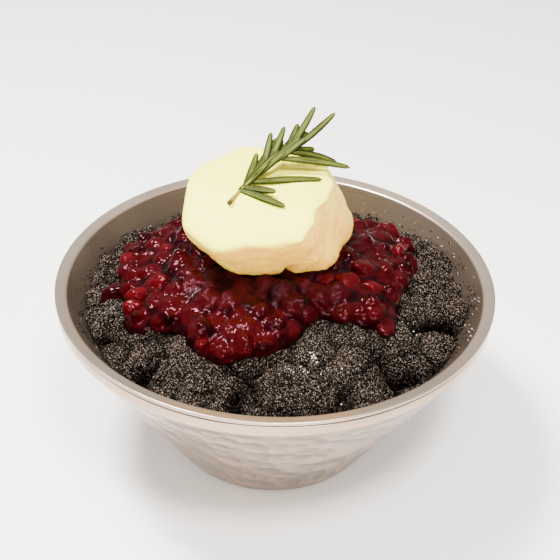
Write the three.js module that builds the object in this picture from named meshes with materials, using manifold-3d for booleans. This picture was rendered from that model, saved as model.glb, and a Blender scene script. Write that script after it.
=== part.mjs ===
// Shaved-ice dessert in a double-walled steel bowl, heaped with dark cookie crumb under a spread of
// berry compote, a torn scoop of cream and a sprig of rosemary.
// Millimetres, +Z up. The origin is the middle of the bowl's foot, and -Y is the front.
import * as THREE from "three";
import { mergeVertices } from "three/addons/utils/BufferGeometryUtils.js";
import Module from "manifold-3d";

const wasm = await Module();
wasm.setup();

// Clearance between pieces that touch
const GAP = 0.3;
// Corners of one mesh that lie this close are one corner
const WELD = 1e-4;

// Bowl
const RIM_RADIUS = 95;
const BOWL_HEIGHT = 86;
const FOOT_RADIUS = 44; // flat of the foot
const FOOT_CORNER = 5;
const SHEET = 0.8; // steel thickness of both walls
const BAND_HEIGHT = 6.5; // plain upright band below the rim's top
const BAND_INSET = 0.4; // the band stands in from the rim's edge
const RIM_WIDTH = 4.8;
const RIM_FALL = 1; // the rim's top slopes in by this much
const RIM_DEPTH = 1.6; // of the folded edge, down to the seam
const RIM_ROUNDING = 0.5;
const RIM_INNER_ROUNDING = 0.8;
const LINER_FLOOR = 9; // height of the inner wall's flat floor
const LINER_FLOOR_RADIUS = 42;
const BOWL_SIDES = 48;
const ARC_STEPS = 2;

// Cookie crumb
const CRUMB_EDGE = BOWL_HEIGHT - 11; // mean height where it meets the wall
const CRUMB_RISE = 16; // of the dome above its edge
const CRUMB_LUMPS = [
  { pitch: 23, rise: 4 },
  { pitch: 11, rise: 2.4 },
];
const LUMPS_FROM = 40; // the middle is smooth up to this radius
const LUMPS_TO = 62; // and fully lumpy from here
const CRUMB_RINGS = 16;
const CRUMB_RING_POWER = 0.7; // sets the rings closer together towards the wall
const CRUMB_SIDES = 72;
const EDGE_HALVINGS = 30; // steps that find where the crumb meets the wall
// Clumps, and a hollow at the back: bearing in degrees, then distance from the axis, size and rise in
// millimetres
const CLUMPS = [
  { bearing: -165, radius: 75, size: 9, rise: 3 },
  { bearing: -117, radius: 72, size: 15, rise: 2 },
  { bearing: -57, radius: 62, size: 16, rise: 1.5 },
  { bearing: -4, radius: 72, size: 11, rise: 2 },
  { bearing: 25, radius: 78, size: 11, rise: 3 },
  { bearing: 90, radius: 85, size: 55, rise: -4 },
];
// Clefts between clumps: where they lie, their turn from the radial line, and their size
const CLEFTS = [
  { bearing: -152, radius: 81, turn: 30, length: 9, width: 4, depth: 3 },
  { bearing: -131, radius: 75, turn: 10, length: 9, width: 4, depth: 5 },
  { bearing: -100, radius: 76, turn: 0, length: 9, width: 4, depth: 5 },
  { bearing: -83, radius: 80, turn: 10, length: 7, width: 4, depth: 2.5 },
  { bearing: -69, radius: 80, turn: -20, length: 8, width: 4, depth: 3 },
  { bearing: -46, radius: 78, turn: 75, length: 9, width: 5, depth: 5 },
  { bearing: -19, radius: 72, turn: 45, length: 10, width: 4, depth: 5 },
  { bearing: 10, radius: 80, turn: 0, length: 8, width: 4, depth: 2.5 },
  { bearing: 48, radius: 76, turn: 40, length: 10, width: 5, depth: 4 },
  { bearing: 80, radius: 78, turn: 0, length: 10, width: 4, depth: 4 },
  { bearing: 116, radius: 76, turn: -30, length: 10, width: 4, depth: 4 },
  { bearing: 158, radius: 80, turn: 20, length: 8, width: 4, depth: 3 },
];

// Berry compote
const COMPOTE_RADIUS = 55;
const COMPOTE_EDGE = 3; // thickness at its outline
const COMPOTE_MIDDLE = 8; // thickness in the middle
const COMPOTE_RINGS = 6;
const COMPOTE_SIDES = 36;
// Where the spread runs out or draws back: bearing and half-width in degrees, reach in millimetres
const COMPOTE_LOBES = [
  { bearing: 178, width: 38, reach: 14 },
  { bearing: -150, width: 8, reach: 8.5 },
  { bearing: -133, width: 7, reach: -3.5 },
  { bearing: -113, width: 15, reach: 7.5 },
  { bearing: -62, width: 20, reach: -15 },
  { bearing: -35, width: 8, reach: 6 },
  { bearing: 32, width: 22, reach: 12 },
];
const BERRY_COUNT = 54;
const BERRY_SIZE = { least: 3.9, most: 5.5 }; // radius
const BERRY_LENGTHENING = 0.3; // the longest berries are longer than wide by this share
const BERRY_INNERMOST = 0.55; // berries lie between these shares of the outline
const BERRY_OUTERMOST = 0.98;
const BERRY_LIFT = 1.8; // the highest berries' middles stand this far above the sauce
const BERRY_SUNKEN = 0.4; // height of a berry's half in the sauce, as a share of its radius
const BERRY_SIDES = 6;
const BERRY_LEVELS = 4;
// Berries at the ends of the runs, by bearing and share of the outline
const STRAY_BERRIES = [
  { bearing: -172, share: 1.03 },
  { bearing: -37, share: 1 },
  { bearing: 9, share: 1 },
];
const STRAY_SINK = 1.5; // they lie lower than the others, on the crumb
const GOLDEN_ANGLE = Math.PI * (3 - Math.sqrt(5));

// Cream scoop
const CREAM_CENTRE = new THREE.Vector3(-3, -1.5, 117);
const CREAM_ROUNDING = 15; // a higher power gives sharper edges between the torn faces
const CREAM_DETAIL = 6;
// Torn faces: bearing and tilt in degrees, distance from the centre in millimetres
const CREAM_FACES = [
  { bearing: -107, tilt: 57, reach: 26 },
  { bearing: -23, tilt: 11, reach: 29 },
  { bearing: 8, tilt: 27, reach: 30 },
  { bearing: 80, tilt: 11, reach: 31 },
  { bearing: 142, tilt: 20, reach: 33 },
  { bearing: 177, tilt: 0, reach: 34 },
  { bearing: -140, tilt: -37, reach: 30 },
  { bearing: -82, tilt: -34, reach: 26 },
  { bearing: -16, tilt: -48, reach: 33 },
  { bearing: 92, tilt: -35, reach: 29 },
  { bearing: 12, tilt: 88, reach: 18 },
  { bearing: 0, tilt: -90, reach: 19 },
];

// Rosemary
const STEM_RADIUS = 1;
const STEM_TAPER = 0.5; // the tip is thinner by this share
const STEM_SIDES = 6;
const STEM_STEPS = 8;
// The stem's line over the cream: bearing and tilt in degrees, height above the cream in millimetres
const STEM_LINE = [
  { bearing: -128, tilt: 33, above: 0.8 },
  { bearing: -174, tilt: 74, above: 1.5 },
  { bearing: 40, tilt: 68, above: 8.6 },
];
const LEAF_WIDTH = 3.1;
const LEAF_THICKNESS = 1.1;
const LEAF_STEPS = 5;
const LEAF_FACING = { bearing: -100, tilt: 45 }; // of every leaf's upper face
const LEAF_CLEARANCE = 1.2; // of a leaf's middle line above the cream
// A leaf swells as part of a sine wave, between these shares of it
const LEAF_SWELL_FROM = 0.12;
const LEAF_SWELL_TO = 0.89;
const LEAF_SWELL_POWER = 0.6;
// Leaves: place along the stem from 0 to 1, turn about it, spread from it and bend along the leaf in
// degrees, length in millimetres
const LEAVES = [
  { along: 0.2, turn: -13, spread: 86, bend: 6, length: 20 },
  { along: 0.26, turn: -3, spread: 78, bend: 0, length: 14 },
  { along: 0.2, turn: 95, spread: 7, bend: 6, length: 29 },
  { along: 0.24, turn: 55, spread: 8, bend: 6, length: 24 },
  { along: 0.26, turn: 149, spread: 20, bend: 12, length: 19 },
  { along: 0.26, turn: 137, spread: 10, bend: 6, length: 30 },
  { along: 0.29, turn: 164, spread: 12, bend: 8, length: 17 },
  { along: 0.38, turn: 170, spread: 9, bend: 6, length: 24 },
  { along: 0.4, turn: 38, spread: 9, bend: 6, length: 22 },
  { along: 0.35, turn: -29, spread: 43, bend: 12, length: 29 },
  { along: 0.54, turn: 151, spread: 32, bend: 8, length: 20 },
  { along: 0.55, turn: 60, spread: 10, bend: 8, length: 22 },
  { along: 0.61, turn: 148, spread: 25, bend: 10, length: 22 },
  { along: 0.65, turn: 170, spread: 13, bend: 8, length: 24 },
  { along: 0.7, turn: 167, spread: 30, bend: 8, length: 14 },
  { along: 0.7, turn: 45, spread: 12, bend: 8, length: 18 },
  { along: 0.81, turn: -42, spread: 41, bend: 14, length: 30 },
  { along: 0.89, turn: 166, spread: 36, bend: 8, length: 18 },
  { along: 0.9, turn: 147, spread: 25, bend: 8, length: 26 },
  { along: 0.95, turn: -69, spread: 41, bend: 24, length: 22 },
  { along: 0.96, turn: -105, spread: 29, bend: 8, length: 13 },
  { along: 0.97, turn: 166, spread: 12, bend: 10, length: 27 },
  { along: 0.99, turn: 178, spread: 29, bend: 8, length: 13 },
];

const degrees = THREE.MathUtils.degToRad;

// Repeatable value from 0 to 1 for a pair of whole numbers.
function scatter(i, j) {
  const wave = Math.sin(i * 127.1 + j * 311.7) * 43758.5453;
  return wave - Math.floor(wave);
}

function onBearing(bearing, tilt = 0) {
  const flat = Math.cos(degrees(tilt));
  return new THREE.Vector3(
    flat * Math.cos(degrees(bearing)),
    flat * Math.sin(degrees(bearing)),
    Math.sin(degrees(tilt)),
  );
}

// A closed skin over rings of equally many points, with a single point before the first ring and after
// the last one.
function skin(firstPoint, rings, lastPoint) {
  const sides = rings[0].length;
  const points = [firstPoint, ...rings.flat(), lastPoint];
  const at = (ring, side) => 1 + ring * sides + (side % sides);
  const index = [];
  for (let side = 0; side < sides; side++) {
    index.push(0, at(0, side), at(0, side + 1));
    for (let ring = 0; ring + 1 < rings.length; ring++) {
      index.push(at(ring, side), at(ring + 1, side), at(ring + 1, side + 1));
      index.push(at(ring, side), at(ring + 1, side + 1), at(ring, side + 1));
    }
    index.push(at(rings.length - 1, side), points.length - 1, at(rings.length - 1, side + 1));
  }
  return new THREE.BufferGeometry().setFromPoints(points).setIndex(index);
}

function solidOf(geometry) {
  const bare = geometry.clone();
  bare.deleteAttribute("normal");
  bare.deleteAttribute("uv");
  const merged = mergeVertices(bare, WELD);
  return new wasm.Manifold(
    new wasm.Mesh({
      numProp: 3,
      vertProperties: new Float32Array(merged.attributes.position.array),
      triVerts: new Uint32Array(merged.index.array),
    }),
  );
}

// The geometry of a solid's largest body: a scrap that a cut leaves loose is dropped.
function geometryOf(solid) {
  const bodies = solid.decompose().sort((a, b) => b.volume() - a.volume());
  const mesh = bodies[0].getMesh();
  return new THREE.BufferGeometry()
    .setAttribute("position", new THREE.BufferAttribute(mesh.vertProperties, 3))
    .setIndex(new THREE.BufferAttribute(mesh.triVerts, 1));
}

function joined(solids) {
  return solids.reduce((whole, solid) => whole.add(solid));
}

// Bowl: two spun sheets that meet at the seam under the rim

const SEAM_HEIGHT = BOWL_HEIGHT - RIM_DEPTH;
const LINER_TOP = BOWL_HEIGHT - RIM_FALL;
const LINER_RIM_RADIUS = RIM_RADIUS - RIM_WIDTH;
const LINER_LEAN = (LINER_RIM_RADIUS - LINER_FLOOR_RADIUS) / (LINER_TOP - LINER_FLOOR);

// Radius of the inner wall's visible face.
function linerRadius(height) {
  return LINER_FLOOR_RADIUS + LINER_LEAN * (height - LINER_FLOOR);
}

// Radius of what fills the bowl: clear of the flats between the spun wall's corners.
function fillRadius(height) {
  return linerRadius(height) * Math.cos(Math.PI / BOWL_SIDES) - GAP;
}

function spin(path) {
  return new THREE.LatheGeometry(path.getPoints(ARC_STEPS), BOWL_SIDES).rotateX(Math.PI / 2);
}

function linerGeometry() {
  const sheetAcross = SHEET * Math.hypot(1, LINER_LEAN);
  const edge = RIM_RADIUS - RIM_ROUNDING;
  const wallStart = LINER_TOP - RIM_INNER_ROUNDING;
  const path = new THREE.Path();
  path.moveTo(0, LINER_FLOOR - SHEET);
  path.lineTo(LINER_FLOOR_RADIUS + sheetAcross / 2, LINER_FLOOR - SHEET);
  path.lineTo(linerRadius(SEAM_HEIGHT) + sheetAcross, SEAM_HEIGHT);
  path.lineTo(edge, SEAM_HEIGHT);
  path.absarc(edge, SEAM_HEIGHT + RIM_ROUNDING, RIM_ROUNDING, -Math.PI / 2, 0);
  path.absarc(edge, BOWL_HEIGHT - RIM_ROUNDING, RIM_ROUNDING, 0, Math.PI / 2);
  const slope = RIM_FALL / RIM_WIDTH;
  path.lineTo(LINER_RIM_RADIUS + RIM_INNER_ROUNDING, LINER_TOP + slope * RIM_INNER_ROUNDING);
  path.quadraticCurveTo(LINER_RIM_RADIUS, LINER_TOP, linerRadius(wallStart), wallStart);
  path.lineTo(LINER_FLOOR_RADIUS, LINER_FLOOR);
  path.lineTo(0, LINER_FLOOR);
  return spin(path);
}

function shellGeometry() {
  const bandRadius = RIM_RADIUS - BAND_INSET;
  const bandFoot = BOWL_HEIGHT - BAND_HEIGHT;
  const top = SEAM_HEIGHT - GAP;
  // The wall runs straight from the foot of the band to where it touches the foot's rounded corner.
  const toBand = new THREE.Vector2(bandRadius - FOOT_RADIUS, bandFoot - FOOT_CORNER);
  const wallNormal = toBand.angle() - Math.acos(FOOT_CORNER / toBand.length());
  const innerCorner = FOOT_CORNER - SHEET;
  const innerStart = new THREE.Vector2(innerCorner, 0).rotateAround(new THREE.Vector2(), wallNormal);
  const innerBand = bandRadius - SHEET;
  const innerRise = (innerBand - FOOT_RADIUS - innerStart.x) / Math.tan(-wallNormal);
  const path = new THREE.Path();
  path.moveTo(0, 0);
  path.lineTo(FOOT_RADIUS, 0);
  path.absarc(FOOT_RADIUS, FOOT_CORNER, FOOT_CORNER, -Math.PI / 2, wallNormal);
  path.lineTo(bandRadius, bandFoot);
  path.lineTo(bandRadius, top);
  path.lineTo(innerBand, top);
  path.lineTo(innerBand, FOOT_CORNER + innerStart.y + innerRise);
  path.absarc(FOOT_RADIUS, FOOT_CORNER, innerCorner, wallNormal, -Math.PI / 2, true);
  path.lineTo(0, SHEET);
  return spin(path);
}

// Cookie crumb: a dome of clumps that fills the inner wall

// Smooth bumps between 0 and 1, at random heights on a square grid.
function bumps(x, y) {
  const column = Math.floor(x);
  const row = Math.floor(y);
  const { smoothstep, lerp } = THREE.MathUtils;
  const across = smoothstep(x - column, 0, 1);
  const near = lerp(scatter(column, row), scatter(column + 1, row), across);
  const far = lerp(scatter(column, row + 1), scatter(column + 1, row + 1), across);
  return lerp(near, far, smoothstep(y - row, 0, 1));
}

function hill(along, across) {
  return Math.exp(-along * along - across * across);
}

// How far a place lies along and across the line through a point on a bearing, turned from the radius.
function placeFrom({ bearing, radius, turn = 0 }, x, y) {
  const middle = onBearing(bearing).multiplyScalar(radius);
  const place = new THREE.Vector2(x - middle.x, y - middle.y);
  return place.rotateAround(new THREE.Vector2(), -degrees(bearing + turn));
}

function crumbHeight(x, y) {
  const radius = Math.hypot(x, y);
  const lumpy = THREE.MathUtils.smoothstep(radius, LUMPS_FROM, LUMPS_TO);
  let height = CRUMB_EDGE + CRUMB_RISE * (1 - (radius / linerRadius(CRUMB_EDGE)) ** 2);
  for (const { pitch, rise } of CRUMB_LUMPS) height += lumpy * rise * (bumps(x / pitch, y / pitch) - 0.5);
  for (const clump of CLUMPS) {
    const place = placeFrom(clump, x, y).divideScalar(clump.size);
    height += clump.rise * hill(place.x, place.y);
  }
  for (const cleft of CLEFTS) {
    const place = placeFrom(cleft, x, y);
    height -= cleft.depth * hill(place.x / cleft.length, place.y / cleft.width);
  }
  return height;
}

// Radius where the crumb's surface meets the wall on one bearing, found by halving.
function crumbEdge(angle) {
  let inside = 0;
  let outside = LINER_RIM_RADIUS;
  for (let pass = 0; pass < EDGE_HALVINGS; pass++) {
    const radius = (inside + outside) / 2;
    const surface = crumbHeight(radius * Math.cos(angle), radius * Math.sin(angle));
    if (fillRadius(surface) > radius) inside = radius;
    else outside = radius;
  }
  return inside;
}

// The crumb's solid with its surface raised, down to the bowl's floor.
function crumbGeometry(raised = 0) {
  const ring = (radiusAt, heightAt) =>
    Array.from({ length: CRUMB_SIDES }, (_, side) => {
      const angle = (2 * Math.PI * side) / CRUMB_SIDES;
      const radius = radiusAt(angle);
      const x = radius * Math.cos(angle);
      const y = radius * Math.sin(angle);
      return new THREE.Vector3(x, y, heightAt(x, y));
    });
  const surface = (x, y) => crumbHeight(x, y) + raised;
  const rings = [];
  for (let step = 1; step <= CRUMB_RINGS; step++) {
    const share = (step / CRUMB_RINGS) ** CRUMB_RING_POWER;
    rings.push(ring((angle) => crumbEdge(angle) * share, surface));
  }
  const floor = LINER_FLOOR + GAP;
  rings.push(
    ring(
      () => fillRadius(floor),
      () => floor,
    ),
  );
  return skin(new THREE.Vector3(0, 0, surface(0, 0)), rings, new THREE.Vector3(0, 0, floor));
}

// Cream: torn faces rounded into each other

function creamReach(direction) {
  const pull = CREAM_FACES.reduce((sum, { bearing, tilt, reach }) => {
    const facing = Math.max(0, onBearing(bearing, tilt).dot(direction));
    return sum + (facing / reach) ** CREAM_ROUNDING;
  }, 0);
  return pull ** (-1 / CREAM_ROUNDING);
}

function creamBlob(grown = 0) {
  const geometry = new THREE.IcosahedronGeometry(1, CREAM_DETAIL);
  const places = geometry.getAttribute("position");
  const point = new THREE.Vector3();
  for (let i = 0; i < places.count; i++) {
    point.fromBufferAttribute(places, i).normalize();
    point.multiplyScalar(creamReach(point) + grown);
    places.setXYZ(i, point.x, point.y, point.z);
  }
  return geometry.translate(...CREAM_CENTRE);
}

// Compote: a pool of sauce with berries in it

function compoteRadius(angle) {
  return COMPOTE_LOBES.reduce((radius, { bearing, width, reach }) => {
    const turn = THREE.MathUtils.euclideanModulo(angle - degrees(bearing) + Math.PI, 2 * Math.PI) - Math.PI;
    return radius + reach * Math.exp(-((turn / degrees(width)) ** 2));
  }, COMPOTE_RADIUS);
}

function compotePoint(angle, share) {
  const radius = compoteRadius(angle) * share;
  return new THREE.Vector2(radius * Math.cos(angle), radius * Math.sin(angle));
}

// Height of the bare sauce at a share of the way from the middle to the outline.
function sauceHeight(place, share) {
  const heap = (COMPOTE_MIDDLE - COMPOTE_EDGE) * (1 - share * share);
  return crumbHeight(place.x, place.y) + COMPOTE_EDGE + heap;
}

function sauceGeometry(raised = 0) {
  const ring = (step, heightAt) =>
    Array.from({ length: COMPOTE_SIDES }, (_, side) => {
      const share = step / COMPOTE_RINGS;
      const place = compotePoint((2 * Math.PI * side) / COMPOTE_SIDES, share);
      return new THREE.Vector3(place.x, place.y, heightAt(place, share));
    });
  const upper = (place, share) => sauceHeight(place, share) + raised;
  const under = (place) => crumbHeight(place.x, place.y) + 3 * GAP;
  const rings = [];
  for (let step = 1; step <= COMPOTE_RINGS; step++) rings.push(ring(step, upper));
  for (let step = COMPOTE_RINGS; step > 0; step -= 2) rings.push(ring(step, under));
  const middle = new THREE.Vector2();
  return skin(new THREE.Vector3(0, 0, upper(middle, 0)), rings, new THREE.Vector3(0, 0, under(middle)));
}

// Where the berries lie: on a sunflower spiral round the cream, and at the ends of the runs.
function berryPlaces() {
  const inner = BERRY_INNERMOST ** 2;
  const outer = BERRY_OUTERMOST ** 2;
  const spiral = Array.from({ length: BERRY_COUNT }, (_, number) => ({
    angle: number * GOLDEN_ANGLE,
    share: Math.sqrt(THREE.MathUtils.lerp(inner, outer, (number + 0.5) / BERRY_COUNT)),
    lift: BERRY_LIFT * scatter(number, 1),
  }));
  const strays = STRAY_BERRIES.map(({ bearing, share }) => ({
    angle: degrees(bearing),
    share,
    lift: -STRAY_SINK,
  }));
  return [...spiral, ...strays];
}

function berryGeometry({ angle, share, lift }, number) {
  const place = compotePoint(angle, share);
  const radius = THREE.MathUtils.lerp(BERRY_SIZE.least, BERRY_SIZE.most, scatter(number, 2));
  const length = radius * (1 + BERRY_LENGTHENING * scatter(number, 3));
  const geometry = new THREE.SphereGeometry(1, BERRY_SIDES, BERRY_LEVELS).rotateX(Math.PI / 2);
  const points = geometry.getAttribute("position");
  for (let i = 0; i < points.count; i++) {
    if (points.getZ(i) < 0) points.setZ(i, points.getZ(i) * BERRY_SUNKEN);
  }
  geometry.scale(length, radius, radius);
  geometry.rotateZ(2 * Math.PI * scatter(number, 4));
  return geometry.translate(place.x, place.y, sauceHeight(place, share) + lift);
}

function compoteGeometry() {
  const berries = berryPlaces().map((place, number) => solidOf(berryGeometry(place, number)));
  const cream = solidOf(creamBlob(GAP));
  const shown = joined(berries).subtract(cream);
  return geometryOf(solidOf(sauceGeometry()).add(shown).subtract(solidOf(crumbGeometry(GAP))));
}

function creamGeometry() {
  return geometryOf(solidOf(creamBlob()).subtract(solidOf(sauceGeometry(GAP))));
}

// Rosemary: a stem that lies on the cream, with needle leaves along it

function stemCurve() {
  return new THREE.QuadraticBezierCurve3(
    ...STEM_LINE.map(({ bearing, tilt, above }) => {
      const direction = onBearing(bearing, tilt);
      return direction.multiplyScalar(creamReach(direction) + STEM_RADIUS + above).add(CREAM_CENTRE);
    }),
  );
}

// A point moved straight out from the cream's centre until it clears the cream.
function lifted(point, clearance) {
  const direction = point.clone().sub(CREAM_CENTRE);
  const distance = direction.length();
  const least = creamReach(direction.normalize()) + clearance;
  return distance < least ? direction.multiplyScalar(least).add(CREAM_CENTRE) : point;
}

function stemGeometry(curve) {
  const frames = curve.computeFrenetFrames(STEM_STEPS);
  const rings = [];
  for (let step = 0; step <= STEM_STEPS; step++) {
    const share = step / STEM_STEPS;
    const middle = curve.getPoint(share);
    const radius = STEM_RADIUS * (1 - STEM_TAPER * share);
    rings.push(
      Array.from({ length: STEM_SIDES }, (_, side) => {
        const angle = (-2 * Math.PI * side) / STEM_SIDES;
        return middle
          .clone()
          .addScaledVector(frames.normals[step], radius * Math.cos(angle))
          .addScaledVector(frames.binormals[step], radius * Math.sin(angle));
      }),
    );
  }
  return skin(curve.getPoint(0), rings, curve.getPoint(1));
}

function leafGeometry(curve, { along, turn, spread, bend, length }) {
  const root = curve.getPoint(along);
  const ahead = curve.getTangent(along);
  const out = root.clone().sub(CREAM_CENTRE).normalize();
  const facing = onBearing(LEAF_FACING.bearing, LEAF_FACING.tilt);
  const right = ahead.clone().cross(out).normalize();
  const up = right.clone().cross(ahead);
  const away = right.multiplyScalar(Math.cos(degrees(turn))).addScaledVector(up, Math.sin(degrees(turn)));
  const rings = [];
  const middle = root.clone();
  for (let step = 0; step <= LEAF_STEPS; step++) {
    const share = step / LEAF_STEPS;
    const angle = degrees(spread + bend * (share - 0.5));
    const heading = ahead.clone().multiplyScalar(Math.cos(angle)).addScaledVector(away, Math.sin(angle));
    if (step > 0) middle.addScaledVector(heading, length / LEAF_STEPS);
    const centre = lifted(middle, LEAF_CLEARANCE);
    const wave = Math.PI * THREE.MathUtils.lerp(LEAF_SWELL_FROM, LEAF_SWELL_TO, share);
    const swell = Math.sin(wave) ** LEAF_SWELL_POWER;
    const across = heading.clone().cross(facing).normalize();
    const face = across.clone().cross(heading);
    rings.push([
      centre.clone().addScaledVector(across, (swell * LEAF_WIDTH) / 2),
      centre.clone().addScaledVector(face, (swell * LEAF_THICKNESS) / 2),
      centre.clone().addScaledVector(across, (-swell * LEAF_WIDTH) / 2),
      centre.clone().addScaledVector(face, (-swell * LEAF_THICKNESS) / 2),
    ]);
  }
  const centreOf = (ring) => ring[0].clone().lerp(ring[2], 0.5);
  return skin(centreOf(rings[0]), rings, centreOf(rings[LEAF_STEPS]));
}

function sprigGeometry() {
  const curve = stemCurve();
  const leaves = LEAVES.map((leaf) => solidOf(leafGeometry(curve, leaf)));
  const whole = joined([solidOf(stemGeometry(curve)), ...leaves]);
  return geometryOf(whole.subtract(solidOf(creamBlob(GAP))));
}

// Finishes
const steel = { color: 0xb9b1a8, metalness: 1, roughness: 0.35 };
const FINISHES = {
  bowl_liner: steel,
  bowl_shell: steel,
  cookie_crumb: { color: 0x262221, metalness: 0, roughness: 0.95 },
  berry_compote: { color: 0x6d0d10, metalness: 0, roughness: 0.15 },
  cream_scoop: { color: 0xf7ecc0, metalness: 0, roughness: 0.6 },
  rosemary_sprig: { color: 0x55682f, metalness: 0, roughness: 0.55 },
};

function piece(name, geometry) {
  const mesh = new THREE.Mesh(geometry, new THREE.MeshStandardMaterial(FINISHES[name]));
  mesh.name = name;
  return mesh;
}

const bowl = new THREE.Group();
bowl.add(piece("bowl_liner", linerGeometry()), piece("bowl_shell", shellGeometry()));

const food = new THREE.Group();
food.add(
  piece("cookie_crumb", crumbGeometry()),
  piece("berry_compote", compoteGeometry()),
  piece("cream_scoop", creamGeometry()),
  piece("rosemary_sprig", sprigGeometry()),
);

const dessert = new THREE.Group();
dessert.add(bowl, food);
export default dessert;
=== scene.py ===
import math

import bmesh
import bpy
import numpy as np
from bpy.props import FloatProperty, FloatVectorProperty, IntProperty, PointerProperty
from mathutils import Matrix, Vector


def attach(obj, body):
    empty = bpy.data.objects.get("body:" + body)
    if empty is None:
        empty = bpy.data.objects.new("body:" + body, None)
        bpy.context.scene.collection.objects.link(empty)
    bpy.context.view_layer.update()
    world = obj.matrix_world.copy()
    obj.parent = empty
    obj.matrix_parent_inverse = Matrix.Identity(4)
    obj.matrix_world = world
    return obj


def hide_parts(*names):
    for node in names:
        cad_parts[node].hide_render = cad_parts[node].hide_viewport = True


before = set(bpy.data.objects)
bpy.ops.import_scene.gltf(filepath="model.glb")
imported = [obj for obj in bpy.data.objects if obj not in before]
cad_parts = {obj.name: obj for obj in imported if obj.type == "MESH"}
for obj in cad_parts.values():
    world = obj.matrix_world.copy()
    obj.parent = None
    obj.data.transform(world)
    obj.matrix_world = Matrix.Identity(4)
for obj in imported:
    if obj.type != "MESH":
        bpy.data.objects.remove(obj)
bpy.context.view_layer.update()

bl_info = {
    "name": "Shaved-ice dessert",
    "version": (1, 0, 0),
    "blender": (4, 5, 0),
    "location": "View3D > Sidebar > Dessert",
    "description": "Steel bowl of shaved ice under cookie crumb, berry compote, cream and rosemary",
    "category": "Add Mesh",
}

BODY = "root"

# Shapes that follow the solids. Lengths are in millimetres and angles in degrees.
MM = 0.001
GAP = 0.3
RIM_RADIUS = 95.0
BOWL_HEIGHT = 86.0
FOOT_RADIUS = 44.0
FOOT_CORNER = 5.0
SHEET = 0.8
BAND_HEIGHT = 6.5
BAND_INSET = 0.4
RIM_WIDTH = 4.8
RIM_FALL = 1.0
RIM_DEPTH = 1.6
RIM_ROUNDING = 0.5
RIM_INNER_ROUNDING = 0.8
LINER_FLOOR = 9.0
LINER_FLOOR_RADIUS = 42.0
SEAM_HEIGHT = BOWL_HEIGHT - RIM_DEPTH
SEAM_SHOWN = 0.6
LINER_TOP = BOWL_HEIGHT - RIM_FALL
LINER_LEAN = (RIM_RADIUS - RIM_WIDTH - LINER_FLOOR_RADIUS) / (LINER_TOP - LINER_FLOOR)

CRUMB_DEPTH = 11.0
CRUMB_EDGE = BOWL_HEIGHT - CRUMB_DEPTH
CRUMB_RISE = 16.0
CRUMB_LUMPS = ((23.0, 4.0), (11.0, 2.4))  # pitch, rise
LUMPS_FROM, LUMPS_TO = 40.0, 62.0
CLUMPS = (  # bearing, radius, size, rise
    (-165, 75, 9, 3),
    (-117, 72, 15, 2),
    (-57, 62, 16, 1.5),
    (-4, 72, 11, 2),
    (25, 78, 11, 3),
    (90, 85, 55, -4),
)
CLEFTS = (  # bearing, radius, turn, length, width, depth
    (-152, 81, 30, 9, 4, 3),
    (-131, 75, 10, 9, 4, 5),
    (-100, 76, 0, 9, 4, 5),
    (-83, 80, 10, 7, 4, 2.5),
    (-69, 80, -20, 8, 4, 3),
    (-46, 78, 75, 9, 5, 5),
    (-19, 72, 45, 10, 4, 5),
    (10, 80, 0, 8, 4, 2.5),
    (48, 76, 40, 10, 5, 4),
    (80, 78, 0, 10, 4, 4),
    (116, 76, -30, 10, 4, 4),
    (158, 80, 20, 8, 4, 3),
)

COMPOTE_RADIUS = 55.0
COMPOTE_EDGE = 3.0
COMPOTE_MIDDLE = 8.0
COMPOTE_LOBES = (  # bearing, half-width, reach
    (178, 38, 14),
    (-150, 8, 8.5),
    (-133, 7, -3.5),
    (-113, 15, 7.5),
    (-62, 20, -15),
    (-35, 8, 6),
    (32, 22, 12),
)
BERRY_COUNT = 54
BERRY_LEAST, BERRY_MOST = 3.9, 5.5
BERRY_LENGTHENING = 0.3
BERRY_INNERMOST, BERRY_OUTERMOST = 0.55, 0.98
BERRY_LIFT = 1.8
STRAY_BERRIES = ((-172, 1.03), (-37, 1.0), (9, 1.0))  # bearing, share of the outline
STRAY_SINK = 1.5
GOLDEN_ANGLE = math.pi * (3 - math.sqrt(5))

CREAM_CENTRE = np.array((-3.0, -1.5, 117.0))
CREAM_ROUNDING = 15
CREAM_FACES = (  # bearing, tilt, reach
    (-107, 57, 26),
    (-23, 11, 29),
    (8, 27, 30),
    (80, 11, 31),
    (142, 20, 33),
    (177, 0, 34),
    (-140, -37, 30),
    (-82, -34, 26),
    (-16, -48, 33),
    (92, -35, 29),
    (12, 88, 18),
    (0, -90, 19),
)

STEM_RADIUS = 1.0
STEM_TAPER = 0.5
STEM_LINE = ((-128, 33, 0.8), (-174, 74, 1.5), (40, 68, 8.6))  # bearing, tilt, height above the cream
LEAF_WIDTH = 3.1
LEAF_THICKNESS = 1.1
LEAF_FACING = (-100, 45)  # bearing, tilt
LEAF_CLEARANCE = 1.2
LEAF_SWELL_FROM, LEAF_SWELL_TO, LEAF_SWELL_POWER = 0.12, 0.89, 0.6
LEAVES = (  # along, turn, spread, bend, length
    (0.2, -13, 86, 6, 20),
    (0.26, -3, 78, 0, 14),
    (0.2, 95, 7, 6, 29),
    (0.24, 55, 8, 6, 24),
    (0.26, 149, 20, 12, 19),
    (0.26, 137, 10, 6, 30),
    (0.29, 164, 12, 8, 17),
    (0.38, 170, 9, 6, 24),
    (0.4, 38, 9, 6, 22),
    (0.35, -29, 43, 12, 29),
    (0.54, 151, 32, 8, 20),
    (0.55, 60, 10, 8, 22),
    (0.61, 148, 25, 10, 22),
    (0.65, 170, 13, 8, 24),
    (0.7, 167, 30, 8, 14),
    (0.7, 45, 12, 8, 18),
    (0.81, -42, 41, 14, 30),
    (0.89, 166, 36, 8, 18),
    (0.9, 147, 25, 8, 26),
    (0.95, -69, 41, 24, 22),
    (0.96, -105, 29, 8, 13),
    (0.97, 166, 12, 10, 27),
    (0.99, 178, 29, 8, 13),
)

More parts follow.
